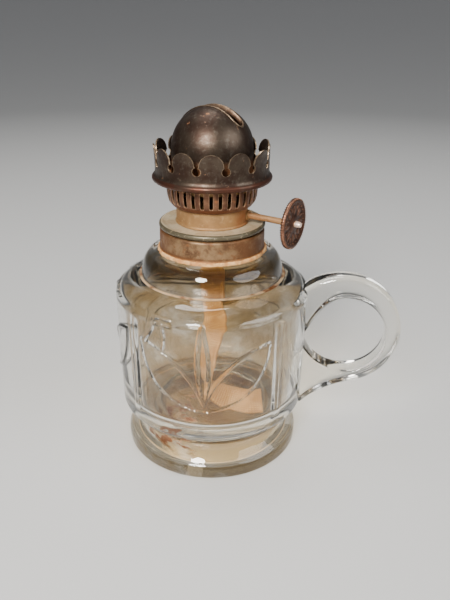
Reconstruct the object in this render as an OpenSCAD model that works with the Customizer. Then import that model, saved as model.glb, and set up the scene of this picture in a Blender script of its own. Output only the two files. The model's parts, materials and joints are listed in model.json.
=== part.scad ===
// Small flat-wick kerosene hand lamp: a pressed glass font with a finger loop,
// a cemented brass collar, and a screw-in burner with a lift-off crown and dome.
// Millimetres, +Z up. The origin is the middle of the foot on the table,
// the finger loop points along +X and the front of the glass along -Y.

/* [Glass font] */
// Diameter of the foot roll
foot_d = 68; // [62:0.5:76]
// Height of the foot roll
foot_h = 6.5; // [5:0.5:8]
// Rounding of the foot's lower edge
foot_edge = 1.2; // [0.8:0.1:2.4]
// Diameter of the waist between foot and body
waist_d = 59; // [56:0.5:62]
// Height of the body's underside above the table
body_z = 17.5; // [15:0.5:20]
// Diameter of the body at the shoulder
body_d = 72; // [68:0.5:78]
// How far the wall leans in towards the foot, on the radius
wall_draft = 0.5; // [0:0.1:1]
// Rounding of the body's lower edge
body_corner = 2.4; // [1.5:0.1:3.5]
// Height of the body from its underside to the shoulder
wall_h = 49; // [44:0.5:56]
// Rounding of the shoulder
shoulder_round = 3; // [2:0.1:4]
// Rise of the shoulder from the wall to the ring groove
shoulder_h = 3.5; // [2.5:0.1:5]
// Diameter of the ring groove at the foot of the neck
groove_d = 53.6; // [51:0.2:58]
// Height of the neck from the groove to the collar seat
neck_h = 9.4; // [8:0.2:12]
// Ledge of glass left outside the collar
neck_ledge = 2.1; // [1:0.1:3]
// Thickness of the glass wall
glass_t = 3.6; // [3:0.1:4.5]
// Thickness of the glass between the body's underside and the floor inside
floor_t = 3; // [2.5:0.1:6]
// Rounding between floor and wall inside
floor_round = 5; // [3:0.1:7]
// Diameter of the hollow under the foot
hollow_d = 50; // [44:0.5:54]
// Depth of the hollow under the foot
hollow_h = 12; // [8:0.5:14]

/* [Finger loop] */
// Diameter of the finger hole
loop_d = 30; // [26:0.5:34]
// Thickness of the loop outwards from the hole, averaged round it
loop_t = 7.2; // [6.5:0.1:9]
// How far the loop's outer circle is set towards the body, which thins the loop in front
loop_back = 1.7; // [0:0.1:2]
// How far the loop's outer circle is set up, which thickens the loop on top
loop_up = 1.6; // [0:0.1:2]
// Width of the loop across
loop_w = 8.6; // [7:0.1:11]
// Rounding of the loop's edges
loop_round = 2; // [1:0.1:2.2]
// Height of the finger hole's centre above the table
loop_z = 47.4; // [45:0.1:50]
// Height at which the loop's lower tail meets the body
tail_z = 16.5; // [16:0.1:24]

/* [Collar] */
// Nominal diameter of the burner thread in the collar
thread_d = 28; // [26:0.2:30]
// Height of the collar's outer wall
collar_h = 7.3; // [6.5:0.1:9]
// Thickness of the collar's sheet brass
collar_t = 0.6; // [0.5:0.1:0.9]
// Thickness of the collar's threaded sleeve
sleeve_t = 0.7; // [0.6:0.1:1]
// Thickness of the glass lip inside the collar
lip_t = 2.3; // [2:0.1:3]
// Height of the glass lip above the collar seat
lip_h = 6; // [5:0.1:6.2]
// Cement between glass and brass, on the radius
cement_gap = 0.6; // [0.4:0.1:1]
// Thickness of the cement bead under the collar
bead_h = 0.8; // [0.5:0.1:1.2]
// How far the cement bead shows outside the collar
bead_out = 0.6; // [0.3:0.1:1]
// Thickness of the leather washer under the burner
washer_t = 1.5; // [1:0.1:2]

/* [Burner] */
// Thickness of the burner's sheet brass
sheet_t = 0.5; // [0.4:0.05:0.7]
// Thickness of the burner cap's plate
plate_t = 0.6; // [0.5:0.05:0.8]
// Radius of the rolled rim of the burner cap
cap_roll = 1; // [0.8:0.05:1.1]
// Running clearance of the burner thread, on the radius
thread_clear = 0.3; // [0.3:0.05:0.5]
// Depth that the screw skirt reaches into the collar
skirt_h = 6.7; // [5:0.1:7]
// Diameter of the drum that the shaft passes through
drum_d = 25.6; // [24:0.2:28]
// Height of the drum
drum_h = 6; // [5.8:0.1:8]
// Diameter of the air basket at its top
basket_d = 31.8; // [30:0.2:35]
// Height of the air basket
basket_h = 9; // [8:0.2:12]
// Number of air slots round the basket
slot_count = 32; // [24:1:36]
// Width of one air slot
slot_w = 1.4; // [0.8:0.1:1.6]
// Diameter of the vent tube beside the wick
vent_d = 3; // [2.4:0.1:3.4]

/* [Crown and dome] */
// Diameter of the crown's rolled rim
crown_d = 42; // [40:0.5:46]
// Radius of the crown's rolled rim
crown_roll = 1.1; // [0.9:0.05:1.4]
// Height of the crown to the petal tips
crown_h = 12.4; // [11:0.2:15]
// Set-in of the petals from the rolled rim, on the radius
petal_in = 1.4; // [1.2:0.1:2]
// Number of petals round the crown
petal_count = 13; // [11:1:14]
// Slit between two petals where they are closest
petal_slit = 1.4; // [0.6:0.1:1.8]
// Diameter of the round hole at the foot of each slit
keyhole_d = 2.8; // [2:0.1:3.2]
// Diameter of the dome
dome_d = 28.4; // [26:0.2:30]
// Height of the dome's straight skirt
dome_skirt = 10.1; // [8:0.1:14]
// Space around the wick in the dome's slot, to each side
slot_side = 1.3; // [1:0.1:2]
// Space beyond the wick at each end of the dome's slot
slot_end = 6.5; // [4:0.1:7]
// Sliding clearance of the crown's spring ring in the basket, on the radius
ring_clear = 0.3; // [0.3:0.05:0.5]

/* [Wick and raiser] */
// Width of the flat wick
wick_w = 10; // [8:0.2:11]
// Thickness of the flat wick
wick_t = 1.6; // [1.2:0.1:2]
// Clearance around the wick in its tube
wick_clear = 0.25; // [0.2:0.05:0.4]
// Depth of the wick tube's mouth below the top of the dome
tube_drop = 6.4; // [5:0.1:9]
// Depth of the wick's end below the tube's mouth, turned down
wick_drop = 0.8; // [0.3:0.1:3]
// Diameter of a spur wheel over its points
spur_d = 5.4; // [4.6:0.1:5.6]
// Thickness of a spur wheel
spur_t = 0.8; // [0.6:0.1:1]
// Number of points on a spur wheel
spur_points = 14; // [10:1:18]
// Gap between the spur points and the wick
spur_gap = 0.06; // [0.03:0.01:0.1]
// Diameter of the raiser shaft
shaft_d = 2.2; // [1.8:0.1:2.6]
// Running clearance of the shaft in its bearings, on the radius
shaft_clear = 0.05; // [0.02:0.01:0.09]
// Height of the shaft above the burner cap's plate
shaft_z = 3; // [2.9:0.05:3.1]
// Turn of the shaft and wick about the lamp's axis, from +X, in degrees
shaft_turn = -26; // [-45:1:0]
// Reach of the shaft from the drum to the thumbwheel's back
shaft_reach = 17.5; // [14:0.5:22]
// Length of the riveted shaft end in front of the thumbwheel
rivet_h = 2.4; // [1.5:0.1:3]
// Diameter of the thumbwheel
thumb_d = 17.3; // [15:0.1:20]
// Thickness of the thumbwheel
thumb_t = 1.2; // [1:0.1:2]
// Diameter of the thumbwheel's hub
hub_d = 5; // [4:0.1:6]
// Length of the thumbwheel's hub behind it
hub_h = 1.4; // [1:0.1:3]
// Notches round the thumbwheel's edge
notch_count = 36; // [24:1:48]

/* [Hidden] */
$fn = 96;

// Overlap of a cutting shape past the face that it cuts
past = 1;

// Glass radii and heights
foot_r = foot_d / 2;
roll_r = foot_h / 2;
waist_r = waist_d / 2;
cove_r = (body_z - foot_h) / 2;
body_r = body_d / 2;
wall_low_r = body_r - wall_draft;
wall_top = body_z + wall_h;
groove_r = groove_d / 2;
groove_z = wall_top + shoulder_h;
groove_notch = 0.6;
seat_z = groove_z + neck_h;
lip_z = seat_z + lip_h;
floor_z = body_z + floor_t;
inner_round = 2.5;
cove_turn = 60;
shoulder_turn = 60;
neck_swell = 1.6;

// Heights at which the fused glass divides into foot, font and shoulder
web_t = 2;
foot_top = hollow_h + web_t;
shoulder_z = wall_top - glass_t - 0.6 * inner_round;

// Finger loop: the hole, the outer circle, and the webs that run into the body
loop_bite = 0.4;
hole_r = loop_d / 2;
hole_centre = [body_r + hole_r - loop_bite, loop_z];
loop_r = hole_r + loop_t;
loop_centre = hole_centre + [-loop_back, loop_up];
root_skin = 0.8;
root_depth = 3;
root_inset = 0.8;
hole_ends = [loop_z - 1, loop_z - 4.6];
hole_turn = [95, 255];
hole_pull = loop_d / 4;
web_r = hole_r + 2.5;
web_span = 70;
loop_dip = 0.3;
tail_turn = 285;
tail_pull = [6, 7.4];
tip_rise = 1.5;

// Collar radii, from the thread outwards, and its height
thread_play = 0.1;
sleeve_in = thread_d / 2 + thread_play;
sleeve_r = sleeve_in + sleeve_t;
lip_in = sleeve_r + cement_gap;
lip_r = lip_in + lip_t;
collar_in = lip_r + cement_gap;
collar_r = collar_in + collar_t;
neck_r = collar_r + neck_ledge;
collar_z = seat_z + bead_h;
collar_top = collar_z + collar_h;
sleeve_lift = 0.4;
sleeve_z = collar_z + sleeve_lift;

// Burner stack
plate_z = collar_top + washer_t;
plate_top = plate_z + plate_t;
rim_set_in = 0.8;
rim_r = collar_r - rim_set_in;
rim_rise = 0.25;
washer_room = 0.4;
skirt_r = sleeve_in - thread_clear;
skirt_z = collar_top - skirt_h;
drum_r = drum_d / 2;
basket_z = plate_top + drum_h;
basket_r = basket_d / 2;
crown_z = basket_z + basket_h;
crown_r = crown_d / 2;
petal_r = crown_r - petal_in;
petal_pitch = 2 * PI * petal_r / petal_count;
lobe_r = (petal_pitch - petal_slit) / 2;
petal_top = crown_z + crown_h;
lobe_z = petal_top - lobe_r;
keyhole_drop = 1.6;
keyhole_z = lobe_z - keyhole_drop;
dome_r = dome_d / 2;
dome_z = crown_z + sheet_t;
dome_mid = dome_z + dome_skirt;
dome_top = dome_mid + dome_r;
seat_ledge = 1.3;
crown_seat = dome_r - seat_ledge;

// Wick, tube and raiser
tube_w = wick_w + 2 * wick_clear;
tube_gap = wick_t + 2 * wick_clear;
tube_top = dome_top - tube_drop;
tube_foot = 1.2;
tube_z = skirt_z - tube_foot;
tube_face = tube_gap / 2 + sheet_t;
shaft_r = shaft_d / 2;
spur_r = spur_d / 2;
shaft_y = wick_t / 2 + spur_gap + spur_r;
axis_z = plate_top + shaft_z;
spur_x = wick_w / 4;
house_in = wick_w / 2;
house_clear = 0.5;
house_y = shaft_y + spur_r + house_clear;
house_h = shaft_z + spur_r + house_clear;
window_h = 0.9 * spur_d;
window_clear = 0.3;
tooth_h = 0.7;
bushing_t = 0.7;
bushing_r = shaft_r + bushing_t;
bushing_out = 0.9;
shaft_stub = 1;
drum_exit = sqrt(drum_r * drum_r - shaft_y * shaft_y);
thumb_x = drum_exit + shaft_reach;
thumb_r = thumb_d / 2;
thumb_rim = 1.2;
notch_depth = 0.25;
vent_gap = 1.5;
vent_y = -(tube_face + vent_d / 2 + vent_gap);
vent_rise = 2;

// Direction across the wick where it leans on the floor
wick_foot_side = [0.15, -0.86, -0.5];
// Height of the wick's middle there, with its lower edge just over the floor
wick_lie = floor_z - wick_foot_side[2] * wick_w / 2 + 0.75 * wick_t;
// Hanging end of the wick, from the tube down and along the floor of the font
wick_route = [
    [0, 0, 79], [0, 0, 74.3], [0, 0, 69.6], [0, 0, 64.9], [0.8, -0.4, 60.5], [1.6, -1.5, 56.2],
    [1.6, -3.2, 52], [0.8, -5.3, 47.8], [-0.2, -7.7, 43.6], [-0.9, -10.1, 39.4], [-1.2, -12.3, 35.2],
    [-0.4, -14, wick_lie + 7.4], [2, -15.2, wick_lie + 4.4], [5.6, -15.9, wick_lie + 2.2],
    [10.2, -16, wick_lie + 0.8], [15.2, -15.8, wick_lie], [20.2, -15.4, wick_lie + 0.4]
];
// Points of the route between which the wick twists to that direction
twist_from = 3;
twist_to = 15;
wick_foot = wick_route[0][2];

// Points on a circle's arc from angle a to angle b
function arc(c, r, a, b, n = 6) =
    [for (i = [0:n]) let (t = a + (b - a) * i / n) c + r * [cos(t), sin(t)]];

// Points on a curve that leaves p towards q and arrives at s from q
function bend(p, q, s, n = 6) =
    [for (i = [0:n]) let (t = i / n) (1 - t) ^ 2 * p + 2 * t * (1 - t) * q + t ^ 2 * s];

// A vector made one unit long
function unit(v) = v / norm(v);

// Outside of the glass, from under the foot roll up to the lip
function glass_outside() = concat(
    arc([foot_r - foot_edge, foot_edge], foot_edge, -90, 0, 4),
    arc([foot_r - roll_r, roll_r], roll_r, 0, cove_turn),
    arc([waist_r + cove_r, (foot_h + body_z) / 2], cove_r, 180 + cove_turn, 180 - cove_turn),
    arc([wall_low_r - body_corner, body_z + body_corner], body_corner, -cove_turn, 0),
    arc([body_r - shoulder_round, wall_top - shoulder_round], shoulder_round, 0, shoulder_turn),
    [[groove_r, groove_z]],
    bend([groove_r - groove_notch, groove_z + groove_notch / 3],
         [groove_r - 2 * groove_notch, seat_z - neck_swell], [neck_r, seat_z]),
    [[lip_r, seat_z], [lip_r, lip_z]]
);

// Inside of the glass, from the lip down to the middle of the floor
function glass_inside() = concat(
    [[lip_in, lip_z]],
    bend([lip_in, seat_z - glass_t], [groove_r - 1.3 * glass_t, seat_z - 1.3 * glass_t],
         [groove_r - glass_t, groove_z - 0.6 * glass_t]),
    arc([body_r - glass_t - inner_round, shoulder_z], inner_round, shoulder_turn, 0, 4),
    arc([wall_low_r - glass_t - floor_round, floor_z + floor_round], floor_round, 0, -90),
    [[0, floor_z]]
);

// Hollow under the foot, from its middle out to the table
function foot_hollow() = concat(
    [[0, hollow_h]],
    bend([hollow_d / 3, hollow_h], [0.46 * hollow_d, hollow_h], [0.48 * hollow_d, hollow_h / 2]),
    [[hollow_d / 2, 0]]
);

// A point of the finger loop's side view, at radius r and angle a about the point c
function on_circle(c, r, a) = c + r * [cos(a), sin(a)];

// Edge of the finger hole, from the body at height z to the round hole at angle a;
// reach is how far the round hole's tangent draws it
function hole_edge(z, a, reach) =
    let (meet = on_circle(hole_centre, hole_r, a))
    bend([body_r - root_skin, z], meet + reach * [-sin(a), cos(a)], meet);

// Side view of the web over the hole, where the loop leaves the body
function arm_web() = concat(
    hole_edge(hole_ends[0], hole_turn[0], hole_pull),
    arc(hole_centre, web_r, hole_turn[0], hole_turn[0] + web_span)
);

// Side view of the tail: from the loop down to the body, up the wall and out along the hole's lower edge
function tail_web() = concat(
    bend(on_circle(loop_centre, loop_r - loop_dip, tail_turn), [body_r, tail_z] + tail_pull,
         [body_r - root_skin, tail_z]),
    [[body_r - root_depth, tail_z + tip_rise], [body_r - root_depth, hole_ends[1]]],
    hole_edge(hole_ends[1], hole_turn[1], -hole_pull)
);

// The glass as if it were solid, for what meets its outside
module glass_block() {
    rotate_extrude() polygon(concat([[0, 0]], glass_outside(), [[0, lip_z]]));
}

// A ring of rectangular section
module ring(r_in, r_out, z, h) {
    translate([0, 0, z])
        difference() {
            cylinder(r = r_out, h = h);
            translate([0, 0, -past]) cylinder(r = r_in, h = h + 2 * past);
        }
}

// A flat bar with round edges, w wide along X and t thick
module oval_bar(w, t, z, h) {
    translate([0, 0, z])
        linear_extrude(height = h)
            union() {
                square([w - t, t], center = true);
                for (s = [-1, 1]) translate([s * (w - t) / 2, 0]) circle(d = t);
            }
}

// Turns what is drawn along X to the direction of the raiser shaft
module burner_frame() {
    rotate([0, 0, shaft_turn]) children();
}

// A round bar along the raiser shaft from x by length h
module shaft_bar(r, x, h) {
    translate([x, shaft_y, axis_z]) rotate([0, 90, 0]) cylinder(r = r, h = h);
}

// The fused glass between two heights
module glass_slice(low, high) {
    color([0.86, 0.84, 0.76, 0.4])
        intersection() {
            rotate_extrude() polygon(concat(glass_outside(), glass_inside(), foot_hollow()));
            translate([0, 0, low]) cylinder(r = max(body_r, foot_r) + past, h = high - low);
        }
}

// What the wick tube and the vent tube take out of a plate
module tube_holes(z, h) {
    oval_bar(tube_w + 2 * sheet_t, tube_gap + 2 * sheet_t, z, h);
    translate([0, vent_y, z]) cylinder(d = vent_d, h = h);
}

module glass_foot() {
    glass_slice(-past, foot_top);
}

module glass_font() {
    glass_slice(foot_top, shoulder_z);
}

module glass_shoulder() {
    glass_slice(shoulder_z, lip_z + past);
}

// Turns a section about the axis that crosses the loop at the point c of its side view
module loop_turned(c) {
    translate([c[0], 0, c[1]]) rotate([90, 0, 0]) rotate_extrude() children();
}

// The loop's disc with a round rim
module loop_disc() {
    half = loop_w / 2;
    soft = [loop_r - loop_round, half - loop_round];
    loop_turned(loop_centre)
        polygon(concat(
            [[0, -half]],
            arc([soft[0], -soft[1]], loop_round, -90, 0, 4),
            arc(soft, loop_round, 0, 90, 4),
            [[0, half]]
        ));
}

// What the finger hole takes out of the disc, with room for its round edges
module finger_hole() {
    half = loop_w / 2;
    soft = [hole_r + loop_round, half - loop_round];
    loop_turned(hole_centre)
        polygon(concat(
            [[0, -half - past], [soft[0], -half - past]],
            arc([soft[0], -soft[1]], loop_round, 270, 180, 4),
            arc(soft, loop_round, 180, 90, 4),
            [[soft[0], half + past], [0, half + past]]
        ));
}

module finger_loop() {
    color([0.86, 0.86, 0.82, 0.4])
        difference() {
            union() {
                difference() {
                    loop_disc();
                    finger_hole();
                }
                rotate([90, 0, 0])
                    linear_extrude(height = loop_w - 2 * root_inset, center = true)
                        union() {
                            polygon(tail_web());
                            polygon(arm_web());
                        }
            }
            glass_block();
        }
}

module collar() {
    color([0.45, 0.3, 0.2])
        union() {
            ring(collar_in, collar_r, collar_z, collar_h);
            ring(sleeve_in, collar_r, collar_top - collar_t, collar_t);
            ring(sleeve_in, sleeve_r, sleeve_z, collar_top - sleeve_z);
        }
}

module collar_cement() {
    bead_r = collar_r + bead_out;
    color([0.86, 0.72, 0.52])
        rotate_extrude()
            polygon(concat(
                [[sleeve_r, sleeve_z], [lip_in, sleeve_z], [lip_in, lip_z], [lip_r, lip_z], [lip_r, seat_z]],
                arc([bead_r - bead_h / 2, seat_z + bead_h / 2], bead_h / 2, -90, 90, 4),
                [[collar_in, collar_z], [collar_in, collar_top - collar_t]],
                [[sleeve_r, collar_top - collar_t]]
            ));
}

module cap_washer() {
    color([0.35, 0.25, 0.17])
        ring(sleeve_in + washer_room, rim_r - cap_roll - washer_room, collar_top, washer_t);
}

module burner_cap() {
    color([0.75, 0.68, 0.52])
        difference() {
            union() {
                translate([0, 0, plate_z]) cylinder(r = rim_r, h = plate_t);
                translate([0, 0, plate_top + rim_rise - cap_roll])
                    rotate_extrude() translate([rim_r, 0]) circle(r = cap_roll);
                ring(skirt_r - plate_t, skirt_r, skirt_z, plate_z - skirt_z + plate_t / 2);
            }
            burner_frame() tube_holes(plate_z - past, plate_t + 2 * past);
        }
}

module bottom_plate() {
    color([0.6, 0.48, 0.32])
        difference() {
            translate([0, 0, skirt_z]) cylinder(r = skirt_r - plate_t, h = sheet_t);
            burner_frame() tube_holes(skirt_z - past, sheet_t + 2 * past);
        }
}

module burner_drum() {
    color([0.63, 0.48, 0.28])
        difference() {
            ring(drum_r - sheet_t, drum_r, plate_top, drum_h);
            burner_frame() shaft_bar(bushing_r, 0, drum_d);
        }
}

module air_basket() {
    floor_in = drum_r - 1.3;
    foot_out = drum_r + 0.2;
    belly = [basket_r - 0.2, basket_z + 0.05 * basket_h];
    rise = [basket_r, basket_z + 0.6 * basket_h];
    wall = [sheet_t, 0];
    slot_z = basket_z + 2;
    slot_in = drum_r + 0.6;
    top_band = 1;
    color([0.55, 0.36, 0.28])
        difference() {
            rotate_extrude()
                polygon(concat(
                    [[floor_in, basket_z]],
                    bend([foot_out, basket_z], belly, rise),
                    [[basket_r, crown_z], [basket_r - sheet_t, crown_z]],
                    bend(rise - wall, belly - wall + [0, sheet_t], [foot_out - sheet_t, basket_z + sheet_t]),
                    [[floor_in, basket_z + sheet_t]]
                ));
            for (k = [0:slot_count - 1])
                rotate([0, 0, 360 * k / slot_count])
                    translate([slot_in, -slot_w / 2, slot_z])
                        cube([basket_r + past - slot_in, slot_w, crown_z - top_band - slot_z]);
        }
}

module wick_tube() {
    color([0.6, 0.45, 0.25])
        burner_frame()
            difference() {
                oval_bar(tube_w + 2 * sheet_t, tube_gap + 2 * sheet_t, tube_z, tube_top - tube_z);
                oval_bar(tube_w, tube_gap, tube_z - past, tube_top - tube_z + 2 * past);
                for (s = [-1, 1])
                    translate([s * spur_x - spur_t / 2 - window_clear, 0, axis_z - window_h / 2])
                        cube([spur_t + 2 * window_clear, tube_face + past, window_h]);
            }
}

module vent_tube() {
    vent_h = basket_z + vent_rise - skirt_z;
    color([0.62, 0.47, 0.27])
        burner_frame() translate([0, vent_y, 0]) ring(vent_d / 2 - sheet_t, vent_d / 2, skirt_z, vent_h);
}

module spur_housing() {
    color([0.6, 0.46, 0.28])
        burner_frame()
            difference() {
                translate([-house_in - sheet_t, tube_face, plate_top])
                    cube([2 * (house_in + sheet_t), house_y + sheet_t - tube_face, house_h]);
                translate([-house_in, tube_face - past, plate_top - past])
                    cube([2 * house_in, house_y - tube_face + past, house_h + 2 * past]);
                shaft_bar(shaft_r + shaft_clear, -drum_r, drum_d);
            }
}

module shaft_bushing() {
    start = house_in + sheet_t;
    color([0.62, 0.48, 0.3])
        burner_frame()
            difference() {
                shaft_bar(bushing_r, start, drum_exit + bushing_out - start);
                shaft_bar(shaft_r + shaft_clear, start - past, drum_r);
            }
}

module raiser_shaft() {
    start = -house_in - sheet_t - shaft_stub;
    color([0.78, 0.65, 0.48])
        burner_frame() shaft_bar(shaft_r, start, thumb_x + thumb_t + rivet_h - start);
}

// One toothed wheel of the wick raiser, centred on x along the shaft
module spur_wheel(x) {
    root = spur_r - tooth_h;
    star = [for (i = [0:2 * spur_points - 1])
        let (a = 180 * i / spur_points)
        (i % 2 == 0 ? spur_r : root) * [cos(a), sin(a)]];
    color([0.55, 0.42, 0.25])
        burner_frame()
            translate([x - spur_t / 2, shaft_y, axis_z])
                rotate([0, 90, 0])
                    difference() {
                        linear_extrude(height = spur_t) polygon(star);
                        translate([0, 0, -past]) cylinder(r = shaft_r, h = spur_t + 2 * past);
                    }
}

module inner_spur_wheel() {
    spur_wheel(-spur_x);
}

module outer_spur_wheel() {
    spur_wheel(spur_x);
}

module thumbwheel() {
    edge = [for (i = [0:2 * notch_count - 1])
        let (a = 180 * i / notch_count)
        (i % 2 == 0 ? thumb_r : thumb_r - notch_depth) * [cos(a), sin(a)]];
    dish_r = thumb_r - thumb_rim;
    dish = thumb_t / 3;
    color([0.42, 0.25, 0.18])
        burner_frame()
            translate([thumb_x, shaft_y, axis_z])
                rotate([0, 90, 0])
                    difference() {
                        linear_extrude(height = thumb_t) polygon(edge);
                        translate([0, 0, thumb_t - dish])
                            difference() {
                                cylinder(r = dish_r, h = dish + past);
                                translate([0, 0, -past]) cylinder(d = hub_d, h = dish + 3 * past);
                            }
                        translate([0, 0, -past]) cylinder(r = shaft_r, h = thumb_t + 2 * past);
                    }
}

module thumbwheel_hub() {
    color([0.6, 0.45, 0.32])
        burner_frame()
            difference() {
                shaft_bar(hub_d / 2, thumb_x - hub_h, hub_h);
                shaft_bar(shaft_r, thumb_x - hub_h - past, hub_h + 2 * past);
            }
}

module wick() {
    color([0.8, 0.68, 0.5])
        burner_frame() oval_bar(wick_w, wick_t, wick_foot, tube_top - wick_drop - wick_foot);
}

module wick_tail() {
    last = len(wick_route) - 1;
    first_side = [cos(shaft_turn), sin(shaft_turn), 0];
    c = wick_t / 3;
    outline = [for (s = [[1, 1], [-1, 1], [-1, -1], [1, -1]]) each
        let (corner = [s[0] * wick_w / 2, s[1] * wick_t / 2])
        s[0] * s[1] > 0
            ? [corner - [0, s[1] * c], corner - [s[0] * c, 0]]
            : [corner - [s[0] * c, 0], corner - [0, s[1] * c]]];
    sides = len(outline);
    points = [for (i = [0:last]) each
        let (run = i == 0 ? [0, 0, -1] : unit(wick_route[min(i + 1, last)] - wick_route[i - 1]))
        let (blend = min(1, max(0, i - twist_from) / (twist_to - twist_from)))
        let (aim = (1 - blend) * first_side + blend * wick_foot_side)
        let (side = unit(aim - (aim * run) * run))
        let (up = cross(run, side))
        [for (p = outline) wick_route[i] + p[0] * side + p[1] * up]];
    walls = [for (i = [0:last - 1], k = [0:sides - 1])
        let (a = i * sides + k, b = i * sides + (k + 1) % sides)
        each [[a, a + sides, b], [b, a + sides, b + sides]]];
    caps = [for (k = [1:sides - 2]) each
        [[0, k, k + 1], [last * sides, last * sides + k + 1, last * sides + k]]];
    color([0.78, 0.65, 0.46]) polyhedron(points = points, faces = concat(walls, caps));
}

module crown() {
    roll_mid = [crown_r - crown_roll, crown_z + crown_roll];
    foot_z = crown_z + 3.4 * crown_roll;
    half = sheet_t / 2;
    color([0.28, 0.22, 0.19])
        difference() {
            rotate_extrude()
                polygon(concat(
                    [[crown_seat, crown_z]],
                    arc(roll_mid, crown_roll, -90, 40),
                    [[petal_r + half, foot_z], [petal_r + half, petal_top]],
                    [[petal_r - half, petal_top], [petal_r - half, foot_z]],
                    arc(roll_mid, crown_roll - sheet_t, 40, -90),
                    [[crown_seat, crown_z + sheet_t]]
                ));
            for (k = [0:petal_count - 1])
                rotate([0, 0, 360 * (k + 0.5) / petal_count - 84]) petal_gap();
        }
}

// The space between two petals, cut outwards along X
module petal_gap() {
    rotate([90, 0, 90])
        translate([0, 0, petal_r - 2 * past])
            linear_extrude(height = 4 * past)
                union() {
                    translate([0, keyhole_z]) circle(d = keyhole_d);
                    difference() {
                        translate([-petal_pitch / 2, keyhole_z])
                            square([petal_pitch, petal_top - keyhole_z + past]);
                        for (s = [-1, 1]) translate([s * petal_pitch / 2, lobe_z]) circle(r = lobe_r);
                        for (s = [-1, 1]) translate([s * petal_pitch / 2, keyhole_z])
                            square([petal_pitch - keyhole_d, 2 * (lobe_z - keyhole_z)], center = true);
                    }
                }
}

module dome() {
    slot_l = wick_w + 2 * slot_end;
    color([0.25, 0.21, 0.19])
        difference() {
            union() {
                translate([0, 0, dome_z]) cylinder(r = dome_r, h = dome_skirt);
                translate([0, 0, dome_mid]) sphere(r = dome_r);
            }
            translate([0, 0, dome_z - dome_r]) cylinder(r = dome_r + past, h = dome_r);
            translate([0, 0, dome_z - past]) cylinder(r = dome_r - sheet_t, h = dome_skirt + past);
            translate([0, 0, dome_mid]) sphere(r = dome_r - sheet_t);
            burner_frame() oval_bar(slot_l, wick_t + 2 * slot_side, dome_mid, dome_r + past);
        }
}

module spring_ring() {
    ring_r = basket_r - sheet_t - ring_clear;
    ring_h = 2.4;
    slit_count = 6;
    slit_w = 1;
    color([0.5, 0.36, 0.24])
        difference() {
            ring(ring_r - sheet_t, ring_r, crown_z - ring_h, ring_h);
            for (k = [0:slit_count - 1])
                rotate([0, 0, 360 * k / slit_count])
                    translate([ring_r - 2 * past, -slit_w / 2, crown_z - ring_h - past])
                        cube([4 * past, slit_w, ring_h]);
        }
}

glass_foot();
glass_font();
glass_shoulder();
finger_loop();
collar();
collar_cement();
cap_washer();
burner_cap();
bottom_plate();
burner_drum();
air_basket();
wick_tube();
vent_tube();
spur_housing();
shaft_bushing();
raiser_shaft();
inner_spur_wheel();
outer_spur_wheel();
thumbwheel();
thumbwheel_hub();
wick();
wick_tail();
crown();
dome();
spring_ring();
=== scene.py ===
"""The looks of a small kerosene hand lamp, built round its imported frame.

The glass font with its finger loop, the brass collar, the screw-in burner, the crown and dome, the wick
raiser and the cotton wick are each a class that builds its meshes and dresses them. Sizes are in
millimetres up to the point where a mesh is made.
"""

import json
import logging
import math
from collections.abc import Callable, Sequence
from dataclasses import dataclass, field
from enum import Enum
from functools import cache

import bpy
import numpy as np
from mathutils import Matrix, Vector

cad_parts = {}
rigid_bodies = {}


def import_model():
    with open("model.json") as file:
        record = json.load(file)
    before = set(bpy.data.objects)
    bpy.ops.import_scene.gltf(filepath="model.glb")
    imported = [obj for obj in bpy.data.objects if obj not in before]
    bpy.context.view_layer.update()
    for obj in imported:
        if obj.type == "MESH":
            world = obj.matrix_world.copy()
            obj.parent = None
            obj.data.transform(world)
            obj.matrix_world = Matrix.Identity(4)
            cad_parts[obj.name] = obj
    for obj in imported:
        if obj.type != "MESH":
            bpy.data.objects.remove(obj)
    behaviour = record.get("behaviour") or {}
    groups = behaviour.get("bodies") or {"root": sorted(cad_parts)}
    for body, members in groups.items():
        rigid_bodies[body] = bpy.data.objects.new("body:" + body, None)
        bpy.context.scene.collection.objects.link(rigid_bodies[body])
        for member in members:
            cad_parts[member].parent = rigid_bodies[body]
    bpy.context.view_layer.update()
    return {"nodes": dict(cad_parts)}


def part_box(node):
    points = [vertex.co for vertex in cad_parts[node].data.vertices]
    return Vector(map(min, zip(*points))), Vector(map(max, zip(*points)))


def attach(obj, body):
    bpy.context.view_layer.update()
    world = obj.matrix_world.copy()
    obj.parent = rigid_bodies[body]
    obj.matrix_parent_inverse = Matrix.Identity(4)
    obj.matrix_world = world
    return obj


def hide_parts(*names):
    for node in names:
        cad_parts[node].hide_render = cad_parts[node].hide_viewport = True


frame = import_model()

MM = 0.001
QUARTER = 90.0
TINY = 1e-9
WELD = 0.01
NOISE_ROUGHNESS = 0.58
LEAN_SHARES = (-0.2, 1.0)
LOG = logging.getLogger("lamp")

Colour = tuple[float, float, float, float]
Place = tuple[float, float, float]
Spot = tuple[float, float]
Span = tuple[float, float]
Curve = tuple[Spot, Spot, Spot]
Outline = list[Spot]
Waves = tuple[tuple[int, float, float], ...]
TapeFrame = tuple[np.ndarray, np.ndarray, np.ndarray]
Swell = Callable[[np.ndarray, float, float], np.ndarray]


class Body(Enum):
    """The bodies that the dressed pieces ride on."""

    FONT = "font"
    BURNER = "burner"
    RAISER = "raiser"
    WICK = "wick"
    GALLERY = "gallery"


class Mark(Enum):
    """Names of the values that a mesh carries for its finish."""

    WEAR = "wear"
    INSIDE = "inside"
    CHAR = "char"
    GRIME = "grime"


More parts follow.
